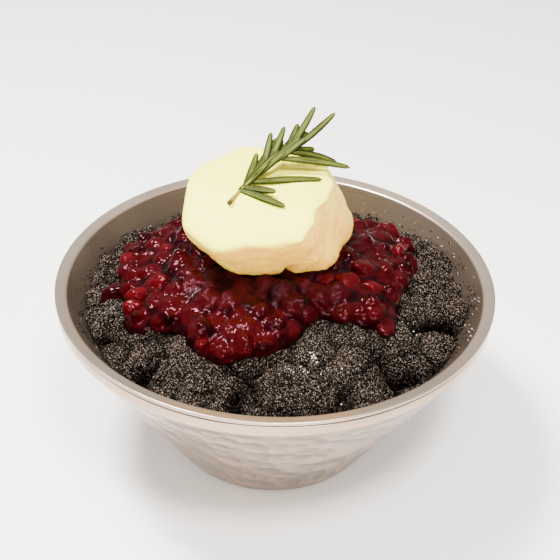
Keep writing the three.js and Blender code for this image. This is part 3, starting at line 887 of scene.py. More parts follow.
class DESSERT_OT_stage(bpy.types.Operator):
    """Adds the camera, the lights and the floor"""

    bl_idname = "dessert.stage"
    bl_label = "Stage"

    # The photograph's viewpoint, in metres, and the ways right, up and back from it
    viewpoint = (0.00194, -0.36059, 0.333302)
    axes = ((0.999549, 0.017132, 0.024667), (-0.030033, 0.570198, 0.820958), (0.0, -0.821328, 0.570456))
    sensor, lens, nearest = 36.0, 64.2857, 0.01
    # Lights: place, aim and size in metres, share of the key light's power, tint
    lights = {
        "key": ((-0.36, 0.08, 0.97), (0.0, 0.0, 0.09), (0.22, 0.22), 1.0, (1.0, 0.98, 0.95)),
        "front": ((0.15, -0.5, 1.1), (0.0, 0.0, 0.07), (0.24, 0.2), 0.75, (1.0, 0.96, 0.92)),
        "fill": ((0.1, -1.3, 0.42), (0.0, 0.0, 0.1), (1.0, 0.3), 0.75, (1.0, 0.95, 0.88)),
    }
    # Light from all round, from straight down at 0 to straight up at 1
    shades = (
        (0.0, (0.5, 0.46, 0.42)),
        (0.48, (0.5, 0.46, 0.42)),
        (0.6, (0.65, 0.61, 0.57)),
        (0.78, (0.85, 0.82, 0.78)),
        (0.95, (1.7, 1.67, 1.62)),
    )
    # A dim stretch of it in front: colour, and the spans over which it comes in and goes out
    dim = (0.22, 0.17, 0.13)
    dim_front, dim_foot, dim_top = (0.2, 0.8), (0.1, 0.25), (0.55, 0.85)
    floor_reach = 3000.0

    def execute(self, context):
        settings = context.scene.dessert_stage
        self.camera(context)
        for name, light in self.lights.items():
            self.light(context, settings.key_power, name, *light)
        self.sky(context, settings.sky)
        self.floor(settings.floor)
        return {"FINISHED"}

    def camera(self, context):
        """A camera at the photograph's viewpoint."""
        data = bpy.data.cameras.new("camera")
        data.sensor_width = self.sensor
        data.lens = self.lens
        data.clip_start = self.nearest
        camera = bpy.data.objects.new("camera", data)
        turn = Matrix(self.axes).transposed().to_4x4()
        camera.matrix_world = Matrix.Translation(self.viewpoint) @ turn
        context.scene.collection.objects.link(camera)
        context.scene.camera = camera

    def light(self, context, power, name, place, aim, size, share, tint):
        """A flat light that points at its aim."""
        data = bpy.data.lights.new(name, "AREA")
        data.shape = "RECTANGLE"
        data.size, data.size_y = size
        data.energy = power * share
        data.color = tint
        light = bpy.data.objects.new(name, data)
        light.location = place
        light.rotation_euler = (Vector(aim) - Vector(place)).to_track_quat("-Z", "Y").to_euler()
        context.scene.collection.objects.link(light)

    def sky(self, context, strength):
        """Soft light from all round, brightest from above."""
        world = bpy.data.worlds.new("soft light")
        world.use_nodes = True
        sky = Nodes(world.node_tree)
        way = sky.node("ShaderNodeTexCoord", output="Generated")
        depth, height = (sky.node("ShaderNodeSeparateXYZ", {0: way}, output=axis) for axis in (1, 2))
        ramp = sky.node("ShaderNodeValToRGB", {0: height * 0.5 + 0.5}, stops=self.shades)
        between = sky.span(height, *self.dim_foot) * (1 - sky.span(height, *self.dim_top))
        front = sky.span(-1 * depth, *self.dim_front) * between
        shade = world.node_tree.nodes["Background"]
        sky.feed(shade.inputs["Color"], sky.mix(ramp, self.dim, front))
        sky.feed(shade.inputs["Strength"], strength)
        context.scene.world = world

    def floor(self, colour):
        """A wide, plain floor."""
        reach = self.floor_reach
        corners = [(-reach, -reach, 0), (reach, -reach, 0), (reach, reach, 0), (-reach, reach, 0)]
        floor = add_mesh("floor", corners, [(0, 1, 2), (0, 2, 3)])
        floor.data.materials.append(floor_finish(colour))


class DESSERT_OT_liner(bpy.types.Operator):
    """Adds the smooth inner wall with its rim"""

    bl_idname = "dessert.liner"
    bl_label = "Inner wall"

    sides = 240
    edge_steps, lip_steps, wall_steps = 5, 8, 24
    # Shares of the rim's face and of the wall after which a close ring keeps the edge crisp
    face_end, wall_end = 1 / 24, 1 / 200
    # Depths below the wall's top where the wall's painted shade is full and where it ends, its share all
    # round, and what the back adds
    polish_end, dull_all, dull_back = (0.9, 0.1), 0.74, 0.26
    roughness, metallic = (0.26, 0.36), 0.88

    def execute(self, context):
        settings = context.scene.dessert_bowl
        across = SHEET * math.hypot(1, LINER_LEAN)
        edge = RIM_RADIUS - RIM_ROUNDING
        rim = RIM_RADIUS - RIM_WIDTH
        slope = RIM_FALL / RIM_WIDTH
        wall = LINER_TOP - RIM_INNER_ROUNDING
        outer = np.array((edge, BOWL_HEIGHT))
        lip = np.array((rim + RIM_INNER_ROUNDING, LINER_TOP + slope * RIM_INNER_ROUNDING))
        corner, foot = np.array((rim, LINER_TOP)), np.array((liner_radius(wall), wall))
        bottom = np.array((LINER_FLOOR_RADIUS, LINER_FLOOR))
        shares = np.linspace(0, 1, self.lip_steps + 1)[:, None]
        profile = np.vstack(
            (
                [(0, LINER_FLOOR - SHEET), (LINER_FLOOR_RADIUS + across / 2, LINER_FLOOR - SHEET)],
                line((liner_radius(SEAM_HEIGHT) + across, SEAM_HEIGHT), (edge, SEAM_HEIGHT), 2),
                arc((edge, SEAM_HEIGHT + RIM_ROUNDING), RIM_ROUNDING, -90, 0, self.edge_steps),
                arc((edge, BOWL_HEIGHT - RIM_ROUNDING), RIM_ROUNDING, 0, 90, self.edge_steps),
                [blend(outer, lip, self.face_end), blend(lip, outer, self.face_end)],
                curve(lip, corner, foot, shares),
                [blend(foot, bottom, self.wall_end)],
                line(foot, bottom, self.wall_steps)[1:],
                [(0, LINER_FLOOR)],
            )
        )
        points, triangles = spun(profile, self.sides)
        radii = np.hypot(points[:, 0], points[:, 1])
        bearings = np.arctan2(points[:, 1], points[:, 0])
        # Painted shade: the inner wall is darker than the rim, most at the back, for the shade and dark food
        # that it mirrors.
        dull = 1 - smoothstep(points[:, 2], *(LINER_TOP - depth for depth in self.polish_end))
        dull *= self.dull_all + self.dull_back * np.maximum(0, np.sin(bearings))
        dull[radii > RIM_RADIUS - RIM_WIDTH / 2] = 0.0
        piece = add_mesh("bowl_inner_wall", points, triangles, dull=dull)
        finish = steel_finish("inner wall steel", settings.rim, settings.liner, self.roughness, self.metallic)
        settle(piece, finish, "steel_liner", "bowl_liner")
        return {"FINISHED"}


class DESSERT_OT_shell(bpy.types.Operator):
    """Adds the hammered outer wall"""

    bl_idname = "dessert.shell"
    bl_label = "Outer wall"

    sides = 440
    row_height = 1.0
    corner_steps, inner_steps = 8, 4
    band_start, lip_fall, lip_inset = 0.6, 0.3, 0.2
    # Painted shade on the lower wall and on the foot, and the heights where each ends
    wall_dulling, wall_dull_from = 0.2, 60
    foot_dulling, foot_dull_heights = 0.4, (4, 45)
    # Painted shade on one side of a hammer mark, and the step round and up the wall that finds that side
    mark_dulling, step_aside, step_up = 5.5, 0.4, 0.7
    roughness, metallic = (0.2, 0.32), 1.0
    # Hammer marks: radius where they have their length, scatter round and up, sizes, depths, ends of the rows
    mark_radius, scatter_round, scatter_up = 70, 0.9, 1.0
    mark_size, mark_size_more, mark_depth, mark_depth_more = 0.65, 0.4, 0.45, 0.55
    first_rows, last_rows = (5, 13), (72, 79)
    up_draw, size_draw, depth_draw = 91, 17, 41

    def execute(self, context):
        settings = context.scene.dessert_bowl
        band = RIM_RADIUS - BAND_INSET
        foot = BOWL_HEIGHT - BAND_HEIGHT
        top = SEAM_HEIGHT - SEAM_SHOWN
        reach = math.hypot(band - FOOT_RADIUS, foot - FOOT_CORNER)
        lean = math.atan2(foot - FOOT_CORNER, band - FOOT_RADIUS) - math.acos(FOOT_CORNER / reach)
        centre = (FOOT_RADIUS, FOOT_CORNER)
        corner = arc(centre, FOOT_CORNER, -90, math.degrees(lean), self.corner_steps)
        wall = line(corner[-1], (band, foot), int(reach / self.row_height))
        inner = arc(centre, FOOT_CORNER - SHEET, math.degrees(lean), -90, self.inner_steps)
        inner_band = band - SHEET
        inner_foot = inner[0, 1] + (inner_band - inner[0, 0]) / math.tan(-lean)
        lip = [(band, foot + self.band_start), (band, top - self.lip_fall), (band - self.lip_inset, top)]
        inside = [(inner_band, top), (inner_band, inner_foot)]
        profile = np.vstack(([(0, 0)], corner, wall[1:], lip, inside, inner, [(0, SHEET)]))
        points, triangles = spun(profile, self.sides)
        rows = slice(len(corner) * self.sides, (len(corner) + len(wall) - 1) * self.sides)
        wall = points[rows].copy()
        outward = unit(wall * (1, 1, 0)) * math.cos(lean) + np.array((0, 0, math.sin(lean)))
        aside = np.stack((-wall[:, 1], wall[:, 0], np.zeros(len(wall))), axis=-1)
        dents = self.dents(wall, settings)
        higher = self.dents(wall + self.step_aside * unit(aside) + (0, 0, self.step_up), settings)
        # Painted shade: the wall darker low down and at the foot, where it mirrors the shaded floor, and on
        # one side of each hammer mark.
        dull = self.wall_dulling * (1 - smoothstep(points[:, 2], self.wall_dull_from, foot))
        dull += self.foot_dulling * (1 - smoothstep(points[:, 2], *self.foot_dull_heights))
        dull[rows] += self.mark_dulling * (dents - higher) / (settings.dimple_depth / MM)
        points[rows] -= outward * dents[:, None]
        piece = add_mesh("bowl_outer_wall", points, triangles, dull=dull)
        steel = (settings.shell, settings.dull_shell)
        finish = steel_finish("outer wall steel", *steel, self.roughness, self.metallic)
        settle(piece, finish, "steel_shell", "bowl_shell")
        return {"FINISHED"}

    def dents(self, points, settings):
        """Depth of the hammer marks, which fade out at both ends of the wall."""
        angles = np.arctan2(points[:, 1], points[:, 0])
        heights = points[:, 2]
        count = round(2 * math.pi * self.mark_radius * MM / settings.dimple_length)
        u = angles / (2 * math.pi) * count
        v = heights / (settings.dimple_height / MM)
        depth = np.zeros(len(points))
        for j in (-1, 0, 1):
            row = np.floor(v) + j
            stagger = 0.5 * np.mod(row, 2)
            for i in (-1, 0, 1):
                column = np.floor(u - stagger) + i
                draw = np.mod(column, count)
                middle_u = column + stagger + 0.5 + self.scatter_round * (scatter(draw, row) - 0.5)
                middle_v = row + 0.5 + self.scatter_up * (scatter(draw + self.up_draw, row) - 0.5)
                size = self.mark_size + self.mark_size_more * scatter(draw + self.size_draw, row)
                distance = np.hypot(u - middle_u, v - middle_v) / size
                strength = self.mark_depth + self.mark_depth_more * scatter(draw + self.depth_draw, row)
                depth = np.maximum(depth, strength * np.maximum(0, 1 - distance**2))
        fade = smoothstep(heights, *self.first_rows) * (1 - smoothstep(heights, *self.last_rows))
        return depth * fade * settings.dimple_depth / MM


class DESSERT_OT_crumb(bpy.types.Operator):
    """Adds the heap of cookie crumb"""

    bl_idname = "dessert.crumb"
    bl_label = "Cookie crumb"

    sides = 760
    rows = 76
    inner = 36.0
    inner_rows = 6
    waist = 40.0  # height of one more ring down the side

    def execute(self, context):
        settings = context.scene.dessert_crumb
        angles = full_turn(self.sides)
        edge = crumb_edge(angles, crumb_surface)
        radii = [np.full(self.sides, self.inner * n / self.inner_rows) for n in range(1, self.inner_rows)]
        radii += [blend(self.inner, edge, share) for share in np.linspace(0, 1, self.rows)]
        rings = [self.ring(angles, radius) for radius in radii]
        floor = LINER_FLOOR + GAP
        rings += [around(liner_radius(height) - GAP, angles, height) for height in (self.waist, floor)]
        top = (0, 0, float(crumb_surface(np.zeros(1), np.zeros(1))[0]))
        points, triangles = closed_rings(rings, top, (0, 0, floor))
        # The mark 'tone' is painted shade, darkest deep in the clefts.
        piece = add_mesh("cookie_crumb_heap", points, triangles, tone=crumb_tone(points[:, 0], points[:, 1]))
        finish = crumb_finish(settings.dark, settings.brown, settings.speckle)
        settle(piece, finish, "crumb", "cookie_crumb")
        return {"FINISHED"}

    def ring(self, angles, radius):
        """Points on the crumb at each angle."""
        return around(radius, angles, crumb_surface(radius * np.cos(angles), radius * np.sin(angles)))


class DESSERT_OT_grains(bpy.types.Operator):
    """Adds the loose grains on the crumb and the specks on the inner wall"""

    bl_idname = "dessert.grains"
    bl_label = "Grains"

    seed = 11
    # Loose grains: places drawn for each, bare share of the area in the middle, distance from the edge,
    # reach under the compote, spread of the sizes, sinking as a share of the size
    tries, bare_middle, edge_gap, reach_under = 4, 0.12, 0.6, 4
    size_spread, sinking = (1.3, 2.6), (-0.1, 0.35)
    # Specks on the inner wall: count, bearings, reach above the crumb, sizes
    dark_specks = (260, (-205, 60), 6.0, (0.5, 1.1))
    pale_specks = (40, (-200, 60), 4.0, (0.5, 0.9))
    white_specks = (40, (-30, 80), 9.5, (0.3, 0.7))
    speck_spread, speck_lift, speck_sinking, speck_headroom = (1.0, 1.6), 0.4, 0.35, 2.5
    # Groups of white flecks: place, spread, count
    fleck_groups = (
        ((16.2, -54), 1.1, 14),
        ((12.4, -61), 0.8, 5),
        ((8, -61), 0.8, 3),
        ((26, -60), 6.0, 3),
        ((58, -30), 9.0, 4),
    )
    fleck_sizes, fleck_lift = (0.4, 1.0), 0.3

    def execute(self, context):
        settings = context.scene.dessert_crumb
        draw = np.random.default_rng(self.seed)
        dark = self.strewn(draw, settings.dark_grains, settings)
        dark_wall = self.on_wall(draw, *self.dark_specks)
        self.add("crumb_grains_dark", draw, dark, dark_wall, settings.dark, settings.brown)
        pale = self.strewn(draw, settings.pale_grains, settings)
        pale_wall = self.on_wall(draw, *self.pale_specks)
        self.add("crumb_grains_pale", draw, pale, pale_wall, settings.brown, settings.pale)
        white = self.flecks(draw)
        white_wall = self.on_wall(draw, *self.white_specks)
        self.add("white_flecks", draw, white, white_wall, settings.fleck, settings.fleck)
        return {"FINISHED"}

    def add(self, name, draw, places, more, dark, light):
        """One piece of grains on the crumb and more on the wall; those on the crumb are darker deep in the
        clefts by painted shade, those on the wall are left unshaded.
        """
        centres = np.vstack((places[0], more[0]))
        sizes = np.concatenate((places[1], more[1]))
        points, triangles = grains(draw, centres, sizes)
        # Painted shade for each grain from where it lies on the crumb.
        tone = crumb_tone(centres[:, 0], centres[:, 1])
        tone[len(places[0]) :] = 1.0
        piece = add_mesh(name, points, triangles, tone=np.repeat(tone, len(points) // len(tone)))
        piece.data.shade_flat()
        settle(piece, grain_finish(name.replace("_", " "), dark, light), "crumb")

    def strewn(self, draw, count, settings):
        """Grains all over the crumb that shows."""
        angles = draw.uniform(-math.pi, math.pi, self.tries * count)
        shares = np.sqrt(draw.uniform(self.bare_middle, 1.0, self.tries * count))
        edge = crumb_edge(angles, crumb_height)
        radius = shares * (edge - self.edge_gap)
        shown = radius > compote_radius(angles) - self.reach_under
        angles, radius = angles[shown][:count], radius[shown][:count]
        x, y = radius * np.cos(angles), radius * np.sin(angles)
        least, most = settings.grain_least / MM, settings.grain_most / MM
        sizes = blend(least, most, draw.beta(*self.size_spread, len(x)))
        height = crumb_surface(x, y) + sizes * draw.uniform(*self.sinking, len(x))
        return np.stack((x, y, height), axis=-1), sizes

    def on_wall(self, draw, count, bearings, reach, sizes):
        """Specks on the inner wall, thinning out above the crumb."""
        angles = np.radians(draw.uniform(*bearings, count))
        edge = crumb_edge(angles, crumb_height)
        foot = crumb_height(edge * np.cos(angles), edge * np.sin(angles))
        size = draw.uniform(*sizes, count)
        height = foot + reach * draw.beta(*self.speck_spread, count) + self.speck_lift
        height = np.minimum(height, LINER_TOP - self.speck_headroom)
        return around(liner_radius(height) - self.speck_sinking * size, angles, height), size

    def flecks(self, draw):
        """White flecks in a few groups on the crumb."""
        spots = [draw.normal(place, spread, (count, 2)) for place, spread, count in self.fleck_groups]
        x, y = np.vstack(spots).T
        sizes = draw.uniform(*self.fleck_sizes, len(x))
        return np.stack((x, y, crumb_surface(x, y) + self.fleck_lift), axis=-1), sizes


# Berries that only the scene has, in the gaps between those of the solid
FILL_SEED, FILL_MIDDLE, FILL_INSET, FILL_NEARNESS = 5, 0.2, 1.5, 0.74
FILL_RADII, FILL_STRETCHES, FILL_LIFTS = (3.4, 5.2), (1, 1.4), (-1.4, 0.8)
BURIED = 1.0  # depth of a berry's middle in the cream from which it is left out
BARE_SHARE = 0.14  # of the berries, without sauce
LIFT_DRAW, RADIUS_DRAW, STRETCH_DRAW, BARE_DRAW = 1, 2, 3, 61

# Forms of the berries
BERRY_SEED, FOLD_SEED, CREASE_SEED = 8, 40, 900
CREASE_SHARE = 0.5
BERRY_BREADTHS, BERRY_DEPTHS = (0.85, 1.1), (0.75, 1.0)


def berry_layout(tries):
    """Places, radii and lengthenings of the berries, those of the solid first, and which have no sauce."""
    number = np.arange(BERRY_COUNT)
    share = np.sqrt(blend(BERRY_INNERMOST**2, BERRY_OUTERMOST**2, (number + 0.5) / BERRY_COUNT))
    stray_bearing, stray_share = np.array(STRAY_BERRIES).T
    angle = np.concatenate((number * GOLDEN_ANGLE, np.radians(stray_bearing)))
    share = np.concatenate((share, stray_share))
    lift = np.concatenate((BERRY_LIFT * scatter(number, LIFT_DRAW), np.full(len(stray_share), -STRAY_SINK)))
    number = np.arange(len(angle))
    radius = blend(BERRY_LEAST, BERRY_MOST, scatter(number, RADIUS_DRAW))
    stretch = 1 + BERRY_LENGTHENING * scatter(number, STRETCH_DRAW)
    out = compote_radius(angle) * share
    x, y = out * np.cos(angle), out * np.sin(angle)
    kept = list(zip(x, y, sauce_height(x, y, share) + lift, radius, stretch))
    draw = np.random.default_rng(FILL_SEED)
    for _ in range(tries):
        angle, share = draw.uniform(-math.pi, math.pi), math.sqrt(draw.uniform(FILL_MIDDLE, 1.0))
        radius, stretch, lift = (draw.uniform(*span) for span in (FILL_RADII, FILL_STRETCHES, FILL_LIFTS))
        out = float(compote_radius(angle)) * share - FILL_INSET
        x, y = out * math.cos(angle), out * math.sin(angle)
        if all(math.hypot(x - k[0], y - k[1]) > FILL_NEARNESS * (radius + k[3]) for k in kept):
            kept.append((x, y, float(sauce_height(x, y, share)) + lift, radius, stretch))
    x, y, z, radius, stretch = np.array(kept).T
    centres = np.stack((x, y, z), axis=-1)
    away = centres - CREAM_CENTRE
    distance = np.linalg.norm(away, axis=1)
    shown = distance > cream_reach(away / distance[:, None]) - BURIED
    bare = scatter(np.arange(len(x)), BARE_DRAW) < BARE_SHARE
    bare[BERRY_COUNT : BERRY_COUNT + len(STRAY_BERRIES)] = False
    return centres[shown], radius[shown], stretch[shown], bare[shown]


def berry_shapes(points, centres, radii, stretches, rough):
    """Points of each berry: a ball, lengthened, squashed, turned and wrinkled."""
    draw = np.random.default_rng(BERRY_SEED)
    shapes = []
    for number, turn in enumerate(turns(draw, len(centres))):
        folds = ripples(points, pitch=2.2, seed=FOLD_SEED + number, waves=8)
        creases = np.abs(ripples(points, pitch=1.1, seed=CREASE_SEED + number, waves=10))
        dents = 1 + rough * folds - CREASE_SHARE * rough * creases
        squash = np.array((stretches[number], draw.uniform(*BERRY_BREADTHS), draw.uniform(*BERRY_DEPTHS)))
        shapes.append(centres[number] + (points * dents[:, None] * squash * radii[number]) @ turn.T)
    return np.array(shapes)


class DESSERT_OT_compote(bpy.types.Operator):
    """Adds the sauce and the berries in it"""

    bl_idname = "dessert.compote"
    bl_label = "Compote"

    sides = 300
    rows = 70
    # Berries with and without sauce: divisions of the ball, depth of the wrinkles, rise of the pool round one
    coated_detail, coated_rough, coated_cover = 3, 0.24, 0.9
    bare_detail, bare_rough, bare_cover = 4, 0.18, 0.45
    coat = 1.02  # share by which sauce makes a berry larger
    softening, soften_rounds = 0.5, 8
    berry_shows = (0.95, 1.4)  # radii from a berry's middle where it shows fully and where it no longer does
    # Wrinkles of the sauce: rise, pitch, seed, waves
    wrinkles = ((0.4, 8.5, 70, 18), (0.22, 3.8, 71, 20), (0.09, 1.7, 72, 24))
    # The pool: distance past the outline, waves of its edge as rise, count and start, roundness of the edge,
    # rise over the solid's sauce, reach of a berry's swelling in radii, depths under the crumb and the middle
    margin, edge_waves, edge_power = 0.8, ((0.8, 7, 0), (0.6, 13, 1)), 12
    pool_rise, swelling_reach, edge_depth, middle_depth = 1.2, 1.3, 0.4, 1.6

    def execute(self, context):
        settings = context.scene.dessert_compote
        centres, radii, stretches, bare = berry_layout(settings.fill_tries)
        points, triangles = ball(self.coated_detail)
        shapes = berry_shapes(points, centres, radii * self.coat, stretches, self.coated_rough)[~bare]
        self.sauce(context, settings, joined(shapes, triangles), centres, radii, bare)
        points, triangles = ball(self.bare_detail)
        shapes = berry_shapes(points, centres, radii, stretches, self.bare_rough)[bare]
        points, triangles = joined(shapes, triangles)
        berries = add_mesh("compote_berries", points, triangles, shade=cream_shade(points))
        settle(berries, berry_finish(settings.berry_dark, settings.berry_bright), "compote")
        return {"FINISHED"}

    def sauce(self, context, settings, lumps, centres, radii, bare):
        """A thick pool that coats the berries, made as one skin."""
        points, triangles = self.pool(centres, radii, np.where(bare, self.bare_cover, self.coated_cover))
        triangles = np.vstack((triangles, lumps[1] + len(points)))
        raw = add_mesh("raw_sauce", np.vstack((points, lumps[0])), triangles)
        skin = raw.modifiers.new("skin", "REMESH")
        skin.mode = "VOXEL"
        skin.voxel_size = settings.voxel
        soften = raw.modifiers.new("soften", "SMOOTH")
        soften.factor = self.softening
        soften.iterations = self.soften_rounds
        evaluated = raw.evaluated_get(context.evaluated_depsgraph_get())
        mesh = bpy.data.meshes.new_from_object(evaluated)
        bpy.data.objects.remove(raw)
        mesh.calc_loop_triangles()
        points = triples(mesh.vertices, "co").astype(float) / MM
        normals = triples(mesh.vertices, "normal")
        triangles = triples(mesh.loop_triangles, "vertices", np.int32)
        bpy.data.meshes.remove(mesh)
        berry = np.zeros(len(points))
        for centre, radius in zip(centres, radii):
            depth = np.linalg.norm(points - centre, axis=1) / radius
            berry = np.maximum(berry, 1 - smoothstep(depth, *self.berry_shows))
        wrinkles = sum(rise * ripples(points, *waves) for rise, *waves in self.wrinkles)
        points = points + normals * wrinkles[:, None]
        sauce = add_mesh("compote_sauce", points, triangles, berry=berry, shade=cream_shade(points))
        settle(sauce, sauce_finish(settings.sauce, settings.thin_sauce), "compote", "berry_compote")

    def pool(self, centres, radii, covers):
        """The pool, which fills the hollows between the berries."""
        angles = full_turn(self.sides)
        outline = compote_radius(angles) + self.margin
        for rise, count, start in self.edge_waves:
            outline = outline + rise * np.sin(count * angles + start)

        def ring(share, height):
            radius = outline * share
            return around(radius, angles, height(radius * np.cos(angles), radius * np.sin(angles), share))

        def upper(x, y, share):
            rolled = math.sqrt(max(0.0, 1 - share**self.edge_power))
            weight = np.exp(sauce_height(x, y, share) + self.pool_rise)
            for centre, radius, cover in zip(centres, radii, covers):
                reach = (self.swelling_reach * radius) ** 2
                apart = ((x - centre[0]) ** 2 + (y - centre[1]) ** 2) / reach
                weight = weight + np.exp(centre[2] + cover * radius * (1 - apart))
            return blend(crumb_height(x, y), np.log(weight), rolled)

        def under(x, y, share):
            return crumb_height(x, y) - self.edge_depth

        shares = np.linspace(0, 1, self.rows + 1)[1:]
        rings = [ring(share, upper) for share in shares]
        rings += [ring(share, under) for share in shares[::-1]]
        zero = np.zeros(1)
        top = float(sauce_height(zero, zero, 0.0)[0]) + self.pool_rise
        return closed_rings(rings, (0, 0, top), (0, 0, top - COMPOTE_MIDDLE - self.middle_depth))


class DESSERT_OT_cream(bpy.types.Operator):
    """Adds the torn scoop of cream"""

    bl_idname = "dessert.cream"
    bl_label = "Cream"

    detail = 7
    # Tears low on the scoop: bearing, tilt, width and height in degrees, share of the tear depth
    tears = (
        (-104, 4, 9, 6, 1.2),
        (-95, -9, 10, 5, 1),
        (-66, -38, 5, 16, 4),
        (-128, -14, 12, 5, 1),
        (-14, -4, 8, 9, 1),
    )
    # The raised brow above a tear: height in heights of the tear, narrowing, rise; and the painted shade in
    # the tear's pit
    brow_height, brow_narrowing, brow_rise, tear_dark = 1.3, math.sqrt(2), 0.3, 0.6
    # Faces by their place in the list: the smooth ones, the torn side and the torn underside
    smooth, torn_side, torn_under = (0, 5, 10), (1, 2), (6, 7, 8)
    # Degrees past an edge where a face pulls twice as much, least pull, raggedness of the edges in degrees
    lead_scale, least_pull, raggedness = 40, 0.001, 2.5
    # Degrees past an edge over which the torn side, the torn underside and the painted shade of the torn side
    # come in
    side_edge, under_edge, stain_edge, ridge_width = (-1, 6), (-1, 8), (-2, 12), 5
    # Bearings where the torn side fades out, and places where the rough back starts
    fade_bearings, fade_raggedness, back_from = (10, 80), 4, (0.2, 0.6)
    # Relief in millimetres, and shares of roughness
    swell, ridge_rise, side_sinking, under_sinking = 0.35, 0.9, 0.9, 0.3
    side_rough, under_rough, back_rough = 0.6, 0.8, 0.6
    lumps, pits, fine, fine_rough = 0.25, 0.13, 0.02, 0.03
    # Painted shade: slopes where a leaning face and an underside are fully shaded and not, shares of each in
    # the whole
    mottling, lean_slopes, under_slopes = 0.1, (-0.4, 0.45), (-0.7, -0.1)
    stain_share, lean_share, under_share = 0.75, 0.5, 0.5
    stain_base, stain_waves, patch_base, patch_waves, patch_range = 0.92, 0.1, 0.85, 0.5, (0.6, 1.3)

    def lead(self, directions, faces, others):
        """Degrees by which a place is past the edge between some faces and others."""

        def pull(places):
            facing = [directions @ on_bearing(*CREAM_FACES[n][:2]) / CREAM_FACES[n][2] for n in places]
            return np.maximum(np.max(facing, axis=0), self.least_pull)

        return self.lead_scale * (pull(faces) / pull(others) - 1)

    def execute(self, context):
        settings = context.scene.dessert_cream
        directions, triangles = ball(self.detail)
        reach = cream_reach(directions)
        body = directions * reach[:, None]
        bearing = np.degrees(np.arctan2(directions[:, 1], directions[:, 0]))
        tilt = np.degrees(np.arcsin(np.clip(directions[:, 2], -1, 1)))
        ragged = self.raggedness * ripples(body, pitch=13, seed=15)
        past_side = self.lead(directions, self.torn_side, self.smooth) + ragged
        past_under = self.lead(directions, self.torn_under, self.smooth + self.torn_side) + ragged
        fade = 1 - smoothstep(bearing + self.fade_raggedness * ragged, *self.fade_bearings)
        side = smoothstep(past_side, *self.side_edge) * fade
        low = smoothstep(past_under, *self.under_edge)
        ridge = hill(past_side / self.ridge_width) * (1 - low) * fade
        back = smoothstep(directions[:, 1], *self.back_from)
        rough = np.clip(self.side_rough * side + self.under_rough * low + self.back_rough * back, 0, 1)
        relief = self.swell * ripples(body, pitch=21, seed=3) + self.ridge_rise * ridge
        relief -= self.side_sinking * side * (1 - low) + self.under_sinking * low
        relief += rough * self.lumps * ripples(body, pitch=11, seed=5)
        relief += rough * self.pits * ripples(body, pitch=4.6, seed=6, waves=24)
        relief += (self.fine + self.fine_rough * rough) * ripples(body, pitch=2.0, seed=9, waves=30)
        depth = settings.tear_depth / MM
        # Painted shade in the pit of each tear.
        dark = np.zeros(len(body))
        for tear_bearing, tear_tilt, width, height, share in self.tears:
            turn = (np.mod(bearing - tear_bearing + 180, 360) - 180) / width
            fall = (tilt - tear_tilt) / height
            pit = hill(turn, fall)
            brow = hill(turn, self.brow_narrowing * (fall - self.brow_height))
            relief += share * depth * (self.brow_rise * brow - pit)
            dark += self.tear_dark * pit
        points = CREAM_CENTRE + directions * (reach + relief)[:, None]
        piece = add_mesh("cream_scoop_torn", points, triangles)
        # Painted shade: peach and darker on the torn side away from the light, on faces that lean down, on
        # the underside and in the tears.
        slope = triples(piece.data.vertices, "normal")[:, 2]
        slope = slope + self.mottling * ripples(body, pitch=16, seed=21)
        lean = 1 - smoothstep(slope, *self.lean_slopes)
        under = 1 - smoothstep(slope, *self.under_slopes)
        stain = smoothstep(past_side, *self.stain_edge) * fade
        stain *= self.stain_base + self.stain_waves * ripples(body, pitch=11, seed=22)
        patches = self.patch_base + self.patch_waves * ripples(body, pitch=15, seed=23)
        patches = np.clip(patches, *self.patch_range)
        torn = self.stain_share * stain + self.lean_share * lean * patches + self.under_share * under + dark
        add_mark(piece.data, "torn", np.clip(torn, 0, 1))
        settle(piece, cream_finish(settings.cream, settings.shade), "cream", "cream_scoop")
        return {"FINISHED"}


